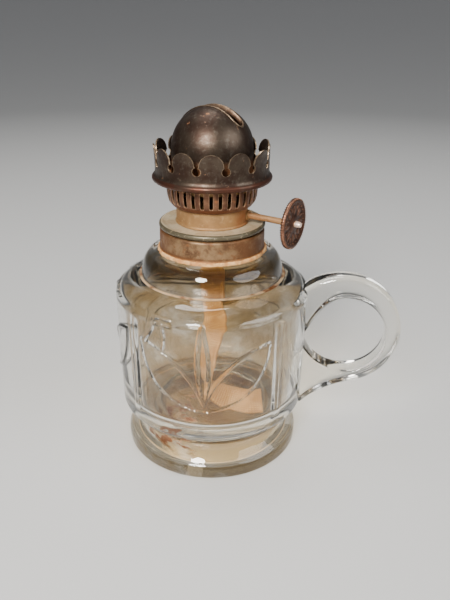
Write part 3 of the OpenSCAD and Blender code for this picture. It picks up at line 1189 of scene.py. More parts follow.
@dataclass
class Studio:
    """Camera, soft lights and a pale floor that curves up into a wall."""

    focal_px: float = 620.0
    frame_px: float = 600.0
    sensor: float = 36.0
    distance: float = 214.05
    height: float = 158.70
    pitch: float = 25.262
    yaw: float = 1.296
    roll: float = 0.527
    swing: float = 7.0
    floor_r: float = 900.0
    wall_r: float = 1500.0
    wall_h: float = 900.0
    floor_segments: int = 96
    floor_tone: Colour = (0.47, 0.468, 0.46, 1.0)
    wall_tone: Colour = (0.2, 0.203, 0.21, 1.0)
    paper_roughness: float = 0.9
    room_tone: Colour = (0.75, 0.78, 0.82, 1.0)
    room_light: float = 0.3
    near_clip: float = 0.01
    aim_z: float = 60.0
    lights: tuple[SoftBox, ...] = (
        SoftBox("key_light", (-120, -500, 450), (200, 200), 9.0, (1.0, 0.97, 0.93)),
        SoftBox("fill_light", (850, -300, 600), (900, 700), 7.0, (0.96, 0.98, 1.0)),
        SoftBox("top_light", (-150, 250, 1100), (600, 400), 7.0, (1.0, 0.99, 0.97)),
    )

    def build(self) -> None:
        """Build the camera, the floor and the lights."""
        self.place_camera()
        self.lay_floor()
        self.hang_lights()

    def place_camera(self) -> None:
        """Set up the camera as fitted to the lamp's rings."""
        pitch, yaw, roll = (math.radians(v) for v in (self.pitch, self.yaw, self.roll))
        ahead = Vector((math.sin(yaw) * math.cos(pitch), math.cos(yaw) * math.cos(pitch), -math.sin(pitch)))
        right = Vector((math.cos(yaw), -math.sin(yaw), 0))
        above = right.cross(ahead)
        level = math.cos(roll) * right + math.sin(roll) * above
        above = -math.sin(roll) * right + math.cos(roll) * above
        turn = Matrix((level, above, -ahead)).transposed().to_4x4()
        place = Matrix.Translation(Vector((0, -self.distance, self.height)) * MM)
        lens = bpy.data.cameras.new("camera")
        lens.sensor_width = self.sensor
        lens.lens = self.focal_px * self.sensor / self.frame_px
        lens.clip_start = self.near_clip
        camera = bpy.data.objects.new("camera", lens)
        camera.matrix_world = Matrix.Rotation(math.radians(self.swing), 4, "Z") @ place @ turn
        bpy.context.collection.objects.link(camera)
        bpy.context.scene.camera = camera

    def lay_floor(self) -> None:
        """Make the floor and the wall round it."""
        rise = self.wall_r - self.floor_r
        outline = [(0.0, 0.0), (self.floor_r / 2, 0.0)]
        outline += arc((self.floor_r, rise), rise, -90, 0, 24)
        outline += [(self.wall_r, self.wall_h)]
        floor = turn_outline("studio_floor", outline, self.floor_segments, closed=False)
        floor.data.flip_normals()
        smooth(floor)
        bench = ShaderBench("studio_paper")
        away = bench.add("ShaderNodeVectorMath", {"operation": "LENGTH"}, {0: bench.place}, "Value")
        near, far = self.floor_r / 3 * MM, self.wall_r * MM
        tone = bench.blend(away.step(near, far), self.floor_tone, self.wall_tone)
        coat(floor, bench.surface({"Base Color": tone, "Roughness": self.paper_roughness}))

    def hang_lights(self) -> None:
        """Hang the soft boxes and light the room."""
        for light in self.lights:
            light.hang(Vector((0, 0, self.aim_z)))
        world = bpy.data.worlds.new("room")
        world.use_nodes = True
        air = world.node_tree.nodes["Background"]
        air.inputs["Color"].default_value = self.room_tone
        air.inputs["Strength"].default_value = self.room_light
        bpy.context.scene.world = world


# The wick


@dataclass
class Wick:
    """The flat cotton wick: its run through the tube and its hanging end."""

    width: float = 10.0
    thickness: float = 1.6
    turn: float = -26.0
    foot_side: Place = (0.15, -0.86, -0.5)
    twist_from: int = 3
    twist_to: int = 15
    steps: int = 8
    char_depth: float = 5.0
    char_fade: float = 2.2
    top_rows: int = 40
    edge: float = 0.2
    edge_size: Span = (0.97, 0.6)
    route: tuple[Place, ...] = (
        (0, 0, 79), (0, 0, 74.3), (0, 0, 69.6), (0, 0, 64.9), (0.8, -0.4, 60.5), (1.6, -1.5, 56.2),
        (1.6, -3.2, 52), (0.8, -5.3, 47.8), (-0.2, -7.7, 43.6), (-0.9, -10.1, 39.4), (-1.2, -12.3, 35.2),
        (-0.4, -14, 31.6), (2, -15.2, 28.6), (5.6, -15.9, 26.4), (10.2, -16, 25), (15.2, -15.8, 24.2),
        (20.2, -15.4, 24.6),
    )

    def build(self) -> None:
        """Build both ends of the wick and dress them."""
        cotton = COTTON.material()
        tail = self.tail()
        settle(tail, cotton, Body.WICK, "wick_cotton", "wick_tail")
        settle(self.top(), cotton, Body.WICK, "wick_cotton", "wick")

    def section(self) -> np.ndarray:
        """Outline of the tape: flat faces with round edges, as places across and through it.

        Returns:
            The points.
        """
        half = self.thickness / 2
        flat = self.width / 2 - half
        right = arc((flat, 0), half, -80, 80, 4)
        left = arc((-flat, 0), half, 100, 260, 4)
        across = np.linspace(flat, -flat, 9)[1:-1]
        upper = [(x, half) for x in across]
        lower = [(-x, -half) for x in across]
        return np.array(right + upper + left + lower)

    def across(self) -> np.ndarray:
        """Direction across the tape in the tube."""
        return np.array([math.cos(math.radians(self.turn)), math.sin(math.radians(self.turn)), 0])

    def tape(self, name: str, frames: Sequence[TapeFrame]) -> bpy.types.Object:
        """Sweep the tape's section along frames and map its length and width.

        Args:
            name: The piece's name.
            frames: Place, direction across and direction through the tape.

        Returns:
            The piece.
        """
        section = self.section()
        rings = [p + section[:, :1] * side + section[:, 1:] * up for p, side, up in frames]
        piece = loft(name, rings)
        run = [0.0]
        for (a, _, _), (b, _, _) in zip(frames, frames[1:]):
            run.append(run[-1] + float(np.linalg.norm(b - a)))
        sheet = piece.data.uv_layers.new(name="tape")
        count = len(section)
        for loop in piece.data.loops:
            ring, place = divmod(loop.vertex_index, count)
            sheet.data[loop.index].uv = (section[place][0], run[ring])
        smooth(piece, 60)
        return piece

    def tail(self) -> bpy.types.Object:
        """The end that hangs in the font and lies on its floor.

        Returns:
            The piece.
        """
        points = np.array(self.route, float)
        first = self.across()
        last = len(points) - 1
        frames = []
        for index in np.linspace(0, last, last * self.steps + 1):
            low = min(int(index), last - 1)
            part = index - low
            before, a, b, after = (points[min(max(k, 0), last)] for k in (low - 1, low, low + 1, low + 2))
            start = (b - before) / 2 if low else b - a
            end = (after - a) / 2
            place = (
                (2 * part**3 - 3 * part**2 + 1) * a
                + (part**3 - 2 * part**2 + part) * start
                + (3 * part**2 - 2 * part**3) * b
                + (part**3 - part**2) * end
            )
            run = (
                6 * (part**2 - part) * (a - b)
                + (3 * part**2 - 4 * part + 1) * start
                + (3 * part**2 - 2 * part) * end
            )
            run = run / np.linalg.norm(run)
            share = min(1.0, max(0.0, index - self.twist_from) / (self.twist_to - self.twist_from))
            aim = (1 - share) * first + share * np.array(self.foot_side)
            side = aim - aim.dot(run) * run
            side = side / np.linalg.norm(side)
            frames.append((place, side, np.cross(run, side)))
        return self.tape("hanging_wick", frames)

    def top(self) -> bpy.types.Object:
        """The straight run through the tube up to the charred edge.

        Returns:
            The piece.
        """
        low, high = corners("wick")
        side = self.across()
        up = np.array([side[1], -side[0], 0])
        heights = np.linspace(low.z, high.z - self.edge, self.top_rows)
        frames = [(np.array([0, 0, z]), side, up) for z in heights]
        frames.append((np.array([0, 0, high.z]), side * self.edge_size[0], up * self.edge_size[1]))
        piece = self.tape("wick_band", frames)
        z = np.array([v.co.z for v in piece.data.vertices]) / MM
        add_mark(piece, Mark.CHAR, np.clip((z - high.z + self.char_depth) / self.char_fade, 0, 1))
        return piece


# The glass


@dataclass
class LeafRelief:
    """The pressed leaf pattern of one quarter of the wall, in distance along the wall and height."""

    centre: float = 2.2
    base: Spot = (0.0, 33.8)
    tip: Spot = (24.0, 56.0)
    upper_pull: Spot = (7.5, 53.9)
    lower_pull: Spot = (22.5, 35.0)
    arc_foot: Spot = (0.0, 31.2)
    middle_tip: Spot = (-0.6, 64.2)
    middle_half: float = 1.9
    line_h: float = 0.7
    line_w: float = 0.45
    leaf_h: float = 0.22
    bar_place: float = 27.2
    bar_half: float = 1.7
    bar_h: float = 0.45
    bar_ends: Span = (23.0, 63.0)
    bar_fade: float = 2.5
    bar_swell: float = 1.5
    handle_at: float = 90.0
    spray: tuple[Curve, ...] = (
        ((-17.2, 67.0), (-17.0, 61.0), (-22.6, 55.6)),
        ((-15.6, 67.0), (-12.6, 60.0), (-14.6, 54.0)),
    )
    ties: tuple[Curve, ...] = (
        ((-18.4, 65.2), (-15.0, 66.0), (-11.8, 65.6)),
        ((-18.0, 63.2), (-15.0, 64.0), (-11.6, 63.4)),
    )
    tie_steps: int = 5

    def side_leaf(self, side: int) -> tuple[Outline, Outline]:
        """Both edges of one of the two large leaves.

        Args:
            side: -1 for the left leaf, 1 for the right one.

        Returns:
            Its upper and its lower edge, which together are its outline.
        """
        spots = (self.base, self.tip, self.upper_pull, self.lower_pull, self.arc_foot)
        base, tip, upper, lower, foot = ((side * x, z) for x, z in spots)
        return bend(base, upper, tip), bend(tip, lower, foot)

    def strokes(self) -> list[Outline]:
        """The raised lines: edges of the large leaves, the narrow middle leaf and a tied spray.

        Returns:
            Each line's points.
        """
        lines: list[Outline] = []
        for side in (-1, 1):
            middle = (side * 2 * self.middle_half, (self.base[1] + self.middle_tip[1]) / 2)
            lines += [*self.side_leaf(side), bend(self.base, middle, self.middle_tip)]
        lines += [bend(*curve) for curve in self.spray]
        lines += [bend(*curve, self.tie_steps) for curve in self.ties]
        return lines

    def height(self, turn: np.ndarray, radius: float, z: float) -> np.ndarray:
        """How far the wall stands out.

        Args:
            turn: Angles round the axis from +X, in radians.
            radius: The wall's radius.
            z: Height on the wall.

        Returns:
            The height of the relief at each angle.
        """
        from_front = np.degrees(turn) + QUARTER - self.centre
        local = (from_front + QUARTER / 2) % QUARTER - QUARTER / 2
        along = np.radians(local) * radius
        quarter = np.floor((from_front + QUARTER / 2) / QUARTER) % 4
        spot = np.stack([along, np.full_like(along, z)], 1)
        near = np.full(len(turn), np.inf)
        for stroke in self.strokes():
            near = np.minimum(near, distance_to_line(spot, np.array(stroke)))
        rise = self.line_h * np.exp(-((near / self.line_w) ** 2))
        for side in (-1, 1):
            upper, lower = self.side_leaf(side)
            within = inside_outline(spot, np.array(upper + lower))
            rise = np.maximum(rise, within * self.leaf_h)
        rise[quarter == self.handle_at // QUARTER] = 0
        low, high = self.bar_ends
        ends = np.clip(min(z - low, high - z) / self.bar_fade, 0, 1)
        gap = np.minimum(np.abs(along - self.bar_place), np.abs(along + self.bar_place))
        bar = self.bar_h * np.clip(1 - (gap / self.bar_half) ** 2, 0, 1) ** self.bar_swell * ends
        return np.maximum(rise, bar)


def beside(spot: Sequence[float], other: Sequence[float], gap: float) -> Spot:
    """The point at a small gap from a spot, on the way to another."""
    way = np.array(other) - np.array(spot)
    return tuple(np.array(spot) + gap * way / np.linalg.norm(way))


def distance_to_line(spots: np.ndarray, path: np.ndarray) -> np.ndarray:
    """Distance from points to a chain of straight stretches.

    Args:
        spots: The points.
        path: The chain.

    Returns:
        The distance of each point.
    """
    best = np.full(len(spots), np.inf)
    for a, b in zip(path, path[1:]):
        run = b - a
        t = np.clip(((spots - a) @ run) / max(run @ run, TINY), 0, 1)
        best = np.minimum(best, np.linalg.norm(spots - a - t[:, None] * run, axis=1))
    return best


def inside_outline(spots: np.ndarray, path: np.ndarray) -> np.ndarray:
    """Whether points lie inside a closed outline.

    Args:
        spots: The points.
        path: The outline.

    Returns:
        True for each point inside.
    """
    within = np.zeros(len(spots), bool)
    for a, b in zip(path, np.roll(path, -1, axis=0)):
        crosses = (a[1] > spots[:, 1]) != (b[1] > spots[:, 1])
        rise = b[1] - a[1] or TINY
        reach = a[0] + (spots[:, 1] - a[1]) * (b[0] - a[0]) / rise
        within ^= crosses & (spots[:, 0] < reach)
    return within


@dataclass
class GlassFont:
    """The pressed glass font with its foot, neck and finger loop, as one fused piece."""

    segments: int = 240
    wall_segments: int = 720
    wall_rows: int = 98
    foot_h: float = 6.5
    foot_edge: float = 1.2
    foot_lip: float = 0.6
    worn_h: float = 0.8
    waist_r: float = 29.5
    body_z: float = 17.5
    wall_low_r: float = 35.5
    body_corner: float = 2.4
    wall_top: float = 66.5
    wall_slack: float = 0.5
    wall_margin: float = 1.0
    shoulder_round: float = 3.0
    shoulder_puff: float = 0.6
    groove: Spot = (26.8, 70.0)
    groove_notch: float = 0.6
    line_w: float = 0.5
    neck_r: float = 21.0
    neck_swell: float = 1.6
    seat_z: float = 79.4
    lip_r: float = 17.7
    lip_in: float = 15.4
    glass_t: float = 3.6
    floor_z: float = 20.5
    floor_round: float = 5.0
    floor_rings: tuple[float, ...] = (12.0, 4.0, 0.0)
    inner_round: float = 2.5
    inner_drop: float = 0.6
    inner_pull: float = 1.3
    hollow_r: float = 25.0
    hollow_h: float = 12.0
    hollow_bend: Span = (0.92, 0.96)
    cove_turn: float = 60.0
    hole_r: float = 15.0
    hole_ends: Span = (46.4, 42.8)
    hole_turn: Span = (95.0, -105.0)
    hole_pull: float = 7.5
    loop_t: float = 7.2
    loop_shift: Spot = (-1.7, 1.6)
    loop_w: float = 8.6
    loop_round: float = 2.2
    root_x: float = 33.2
    wall_x: float = 35.4
    arm_turn: Span = (136.0, 100.0)
    tail_turn: float = -75.0
    tail_z: float = 16.4
    tail_pull: Spot = (6.6, 7.4)
    tail_rise: float = 1.4
    tail_round: float = 1.2
    stain_at: float = -34.0
    stain_w: float = 30.0
    stain_share: float = 1.35
    groove_dirt: float = 2.2
    film_slack: float = 0.6
    film_wall: float = 1.3
    film_neck: float = 0.6
    film_hollow: float = 1.8
    film_foot: float = 1.3
    neck_zone: Spot = (1.6, 2.4)
    fan_steps: int = 14
    ring_steps: int = 56
    corner_steps: int = 5
    relief: LeafRelief = field(default_factory=LeafRelief)

    def build(self) -> None:
        """Build the glass and dress it."""
        path = self.outline()
        steps = [self.wall_segments if self.on_wall(*spot) else self.segments for spot in path]
        glass = turn_outline("font_glass", path, steps, self.swell, closed=False)
        combine(glass, self.loop(), "UNION")
        self.mark_inside(glass)
        smooth(glass, 50)
        nodes = ("glass_foot", "glass_font", "glass_shoulder", "finger_loop")
        settle(glass, GLASS.material(), Body.FONT, "font_glass", *nodes)

    def outline(self) -> Outline:
        """Outline of the glass from the middle of the hollow foot round to the middle of the floor.

        Returns:
            Points of radius and height.
        """
        foot_r = corners("glass_foot")[1].y
        body_r = corners("glass_font")[1].y
        lip_z = corners("glass_shoulder")[1].z
        roll = self.foot_h / 2
        cove = (self.body_z - self.foot_h) / 2
        hollow, top = self.hollow_r, self.hollow_h
        path: Outline = [(0.0, top), (hollow / 3, top)]
        pull, side = (share * hollow for share in self.hollow_bend)
        path += bend((2 * hollow / 3, top), (pull, top), (side, top / 2), 5)
        path += arc((hollow + self.foot_lip, self.foot_lip), self.foot_lip, 180, 270, 3)
        path += arc((foot_r - self.foot_edge, self.foot_edge), self.foot_edge, -90, 0, 6)
        path += arc((foot_r - roll, roll), roll, 0, self.cove_turn, 8)
        path += arc((self.waist_r + cove, (self.foot_h + self.body_z) / 2), cove, 240, 120, 10)[1:]
        corner = (self.wall_low_r - self.body_corner, self.body_z + self.body_corner)
        path += arc(corner, self.body_corner, -60, 0, 5)[1:]
        shoulder = (body_r - self.shoulder_round, self.wall_top - self.shoulder_round)
        path += line((self.wall_low_r, corner[1]), (body_r, shoulder[1]), self.wall_rows)[1:-1]
        path += arc(shoulder, self.shoulder_round, 0, 60, 6)
        start = path[-1]
        puff = np.add(start, self.groove) / 2 + (self.shoulder_puff, 2 * self.shoulder_puff)
        path += bend(start, puff, self.groove, 5)[1:-1]
        path += [beside(self.groove, path[-1], self.line_w), self.groove]
        foot = self.neck_foot()
        swell = (self.groove[0] - 2 * self.groove_notch, self.seat_z - self.neck_swell)
        neck = bend(foot, swell, (self.neck_r, self.seat_z), 10)
        path += [foot, beside(foot, neck[1], self.line_w), *neck[1:]]
        path += [(self.lip_r, self.seat_z), (self.lip_r, lip_z), (self.lip_in, lip_z)]
        t = self.glass_t
        inner_r = body_r - t - self.inner_round
        inner_z = self.wall_top - t - self.inner_drop * self.inner_round
        pull = self.inner_pull * t
        path += bend(
            (self.lip_in, self.seat_z - t),
            (self.groove[0] - pull, self.seat_z - pull),
            (self.groove[0] - t, self.groove[1] - self.inner_drop * t),
            6,
        )
        path += arc((inner_r, inner_z), self.inner_round, 60, 0, 6)
        low = (self.wall_low_r - t - self.floor_round, self.floor_z + self.floor_round)
        path += arc(low, self.floor_round, 0, -90, 8)
        path += [(r, self.floor_z) for r in self.floor_rings]
        return path

    def neck_foot(self) -> Spot:
        """Where the neck rises out of the groove."""
        return (self.groove[0] - self.groove_notch, self.groove[1] + self.groove_notch / 3)

    def swell(self, turn: np.ndarray, radius: float, z: float) -> np.ndarray:
        """Relief on the outside of the wall and nothing elsewhere.

        Args:
            turn: Angles round the axis.
            radius: Radius of the outline there.
            z: Height of the outline there.

        Returns:
            What is added to the radius.
        """
        return self.relief.height(turn, radius, z) if self.on_wall(radius, z) else np.zeros_like(turn)

    def on_wall(self, radius: float, z: float) -> bool:
        """Whether a point of the outline is on the outside of the wall."""
        low, high = self.body_z + self.wall_margin, self.wall_top - self.wall_margin
        return radius > self.wall_low_r - self.wall_slack and low < z < high

    def loop(self) -> bpy.types.Object:
        """The finger loop: a flat-sided bar round the hole, thickest on top, that fans out to the wall.

        Returns:
            The closed shape, sunk into the wall.
        """
        loop_r = self.hole_r + self.loop_t
        high = corners("finger_loop")[1]
        middle = np.array((high.x - loop_r, high.z - loop_r))
        hole = middle - self.loop_shift
        shares = np.linspace(0, 1, self.ring_steps + 1)[1:-1]
        upper, lower = self.hole_turn
        inner = [(self.root_x, self.hole_ends[0])]
        inner += self.hole_edge(hole, self.hole_ends[0], upper, self.hole_pull)
        inner += [on_circle(hole, self.hole_r, upper + (lower - upper) * s) for s in shares]
        inner += self.hole_edge(hole, self.hole_ends[1], lower, -self.hole_pull)[::-1]
        inner += [(self.root_x, self.hole_ends[1])]
        root, arm = self.arm_turn
        tip = np.array((self.wall_x, self.tail_z))
        outer = [on_circle(middle, loop_r, a) for a in np.linspace(root, arm, self.fan_steps + 2)]
        outer += [on_circle(middle, loop_r, arm + (self.tail_turn - arm) * s) for s in shares]
        outer += bend(on_circle(middle, loop_r, self.tail_turn), tip + self.tail_pull, tip, self.fan_steps)
        outer += [(self.root_x, self.tail_z + self.tail_rise)]
        softness = np.full(len(inner), self.loop_round)
        softness[-self.fan_steps :] = np.linspace(self.loop_round, self.tail_round, self.fan_steps)
        sections = []
        for a, b, soft in zip(np.array(inner), np.array(outer), softness):
            depth = float(np.linalg.norm(b - a))
            shape = rounded_box(depth, self.loop_w, soft, self.corner_steps)
            flat = (a + b) / 2 + shape[:, :1] * (b - a) / depth
            sections.append(np.stack([flat[:, 0], shape[:, 1], flat[:, 1]], 1))
        return loft("finger_loop_glass", sections)

    def hole_edge(self, hole: np.ndarray, z: float, degrees: float, reach: float) -> Outline:
        """Edge of the finger hole from the wall to where it meets the round hole.

        Args:
            hole: Centre of the round hole.
            z: Height of the edge at the wall.
            degrees: Angle where it meets the round hole.
            reach: How far the round hole's tangent draws it.

        Returns:
            Points of distance from the axis and height.
        """
        angle = math.radians(degrees)
        meet = on_circle(hole, self.hole_r, degrees)
        pull = meet + reach * np.array([-math.sin(angle), math.cos(angle)])
        return bend((self.wall_x, z), pull, meet, self.fan_steps)

    def mark_inside(self, glass: bpy.types.Object) -> None:
        """Mark the film inside the font and in the neck's groove, and the dirt under the foot.

        Args:
            glass: The glass, with its loop.
        """
        front, radius, z = polar(glass)
        wall_in = self.wall_low_r - self.glass_t + self.film_slack
        within = (radius < wall_in) & (z > self.floor_z - 0.2) & (z < self.seat_z - 1)
        neck_r = self.groove[0] - self.glass_t + self.neck_zone[0]
        neck = (z > self.groove[1] - self.neck_zone[1]) & (radius > neck_r)
        hollow = (radius < self.hollow_r + 0.5) & (z < self.hollow_h + 0.5)
        foot = (z < 0.8 * self.foot_h) & (radius > self.hollow_r)
        in_groove = np.zeros(len(z), bool)
        for spot in (self.groove, self.neck_foot()):
            in_groove |= np.hypot(radius - spot[0], z - spot[1]) < self.line_w / 5
        patch = np.exp(-(((front - self.stain_at) / self.stain_w) ** 2)) * (hollow & (z > self.hollow_h / 3))
        film = within * np.where(neck, self.film_neck, self.film_wall)
        film = film + hollow * self.film_hollow + foot * self.film_foot
        add_mark(glass, Mark.INSIDE, film)
        dirt = np.maximum(patch * self.stain_share, in_groove * self.groove_dirt)
        add_mark(glass, Mark.GRIME, dirt)
        add_mark(glass, Mark.WEAR, np.clip(1 - z / self.worn_h, 0, 1) * (radius > self.hollow_r - 1))


def on_circle(centre: np.ndarray, radius: float, degrees: float) -> np.ndarray:
    """The point of a circle at an angle."""
    angle = math.radians(degrees)
    return centre + radius * np.array([math.cos(angle), math.sin(angle)])


def rounded_box(width: float, height: float, radius: float, steps: int) -> np.ndarray:
    """Outline of a rectangle with round corners about its middle.

    Args:
        width: Its width.
        height: Its height.
        radius: Radius of its corners.
        steps: Stretches round each corner.

    Returns:
        The points.
    """
    x, y = width / 2 - radius, height / 2 - radius
    points: Outline = []
    for number, (sx, sy) in enumerate(((1, 1), (-1, 1), (-1, -1), (1, -1))):
        points += arc((sx * x, sy * y), radius, QUARTER * number, QUARTER * (number + 1), steps)
    return np.array(points)


# Collar and burner


def uneven(amount: float, waves: Waves) -> Swell:
    """A gentle unevenness round a turned piece.

    Args:
        amount: Its height in millimetres.
        waves: Number of waves round the piece, their phase and how the phase shifts with height.

    Returns:
        What is added to the radius, for use when the outline is turned.
    """

    def swell(turn: np.ndarray, radius: float, z: float) -> np.ndarray:
        """Sum of the waves at the given angles."""
        total = sum(np.sin(count * turn + phase + shift * z) for count, phase, shift in waves)
        return amount * total / len(waves)

    return swell


@dataclass
class Collar:
    """The sheet brass collar on the neck and the plaster that holds it."""

    height: float = 7.3
    wall: float = 0.6
    sleeve_in: float = 14.1
    sleeve_t: float = 0.7
    top_round: float = 0.8
    hem: float = 0.35
    bead_h: float = 0.8
    bead_out: float = 0.95
    plain_at: float = -6.0
    plain_w: float = 26.0
    side_brown: float = 0.9
    hem_rust: float = 0.8
    hem_drop: float = 0.1
    bead_lap: float = 0.3
    segments: int = 192
    bead_segments: int = 256
    dent: float = 0.14
    dents: Waves = ((3, 0.4, 0.2), (5, 2.1, -0.3), (11, 1.0, 0.6))
    lump: float = 0.36
    lumps: Waves = ((7, 0.3, 0.0), (13, 1.9, 0.8), (23, 0.7, 1.4), (41, 2.6, 0.5))

    def build(self) -> None:
        """Build the collar and its plaster and dress them."""
        settle(self.sheet(), COLLAR_BRASS.material(), Body.FONT, "collar_brass", "collar")
        settle(self.bead(), PLASTER.material(), Body.FONT, "plaster", "collar_cement")

    def sheet(self) -> bpy.types.Object:
        """The collar, with a small hem at its foot and the threaded sleeve inside.

        Returns:
            The piece.
        """
        low, high = corners("collar")
        r, top, foot = high.x, high.z, high.z - self.height
        soft, hem, sleeve = self.top_round, self.hem, self.sleeve_in
        path: Outline = [(r - self.wall, foot), (r + hem, foot - self.hem_drop), (r + hem, foot + hem)]
        path += bend((r, foot + 2 * hem), (r, foot + 3 * hem), (r, foot + 4 * hem), 4)
        path += line((r, foot + 4 * hem), (r, top - soft), 6)[1:-1]
        path += arc((r - soft, top - soft), soft, 0, 90, 5)
        path += [(sleeve, top), (sleeve, low.z), (sleeve + self.sleeve_t, low.z)]
        path += [(sleeve + self.sleeve_t, top - self.wall), (r - self.wall, top - self.wall)]
        wear = [1.0 if q > r and z < foot + 3 * hem else 0.0 for q, z in path]
        dents = uneven(self.dent, self.dents)
        piece = turn_outline("collar_sheet", path, self.segments, dents, marks={Mark.WEAR: wear})
        front, _, z = polar(piece)
        # The grime mark darkens and browns the collar more towards its sides, away from its front.
        sides = np.clip((np.abs(front - self.plain_at) - self.plain_w) / self.plain_w, 0, self.side_brown)
        add_mark(piece, Mark.GRIME, np.maximum(sides, self.hem_rust * (z < foot + 4 * hem)))
        smooth(piece)
        return piece

    def bead(self) -> bpy.types.Object:
        """The plaster that has oozed out between the collar and the glass.

        Returns:
            The piece.
        """
        high = corners("collar")[1]
        r, foot = high.x, high.z - self.height
        seat, inner = foot - self.bead_h, high.x - self.bead_out
        path: Outline = [(inner, seat)]
        lap, out = foot + self.bead_lap, r + self.bead_out
        path += bend((out, seat), (out, foot), (r + self.hem, lap), 8)
        path += [(inner, lap)]
        lumps = uneven(self.lump, self.lumps)
        piece = turn_outline("plaster_bead", path, self.bead_segments, lumps)
        smooth(piece, 60)
        return piece


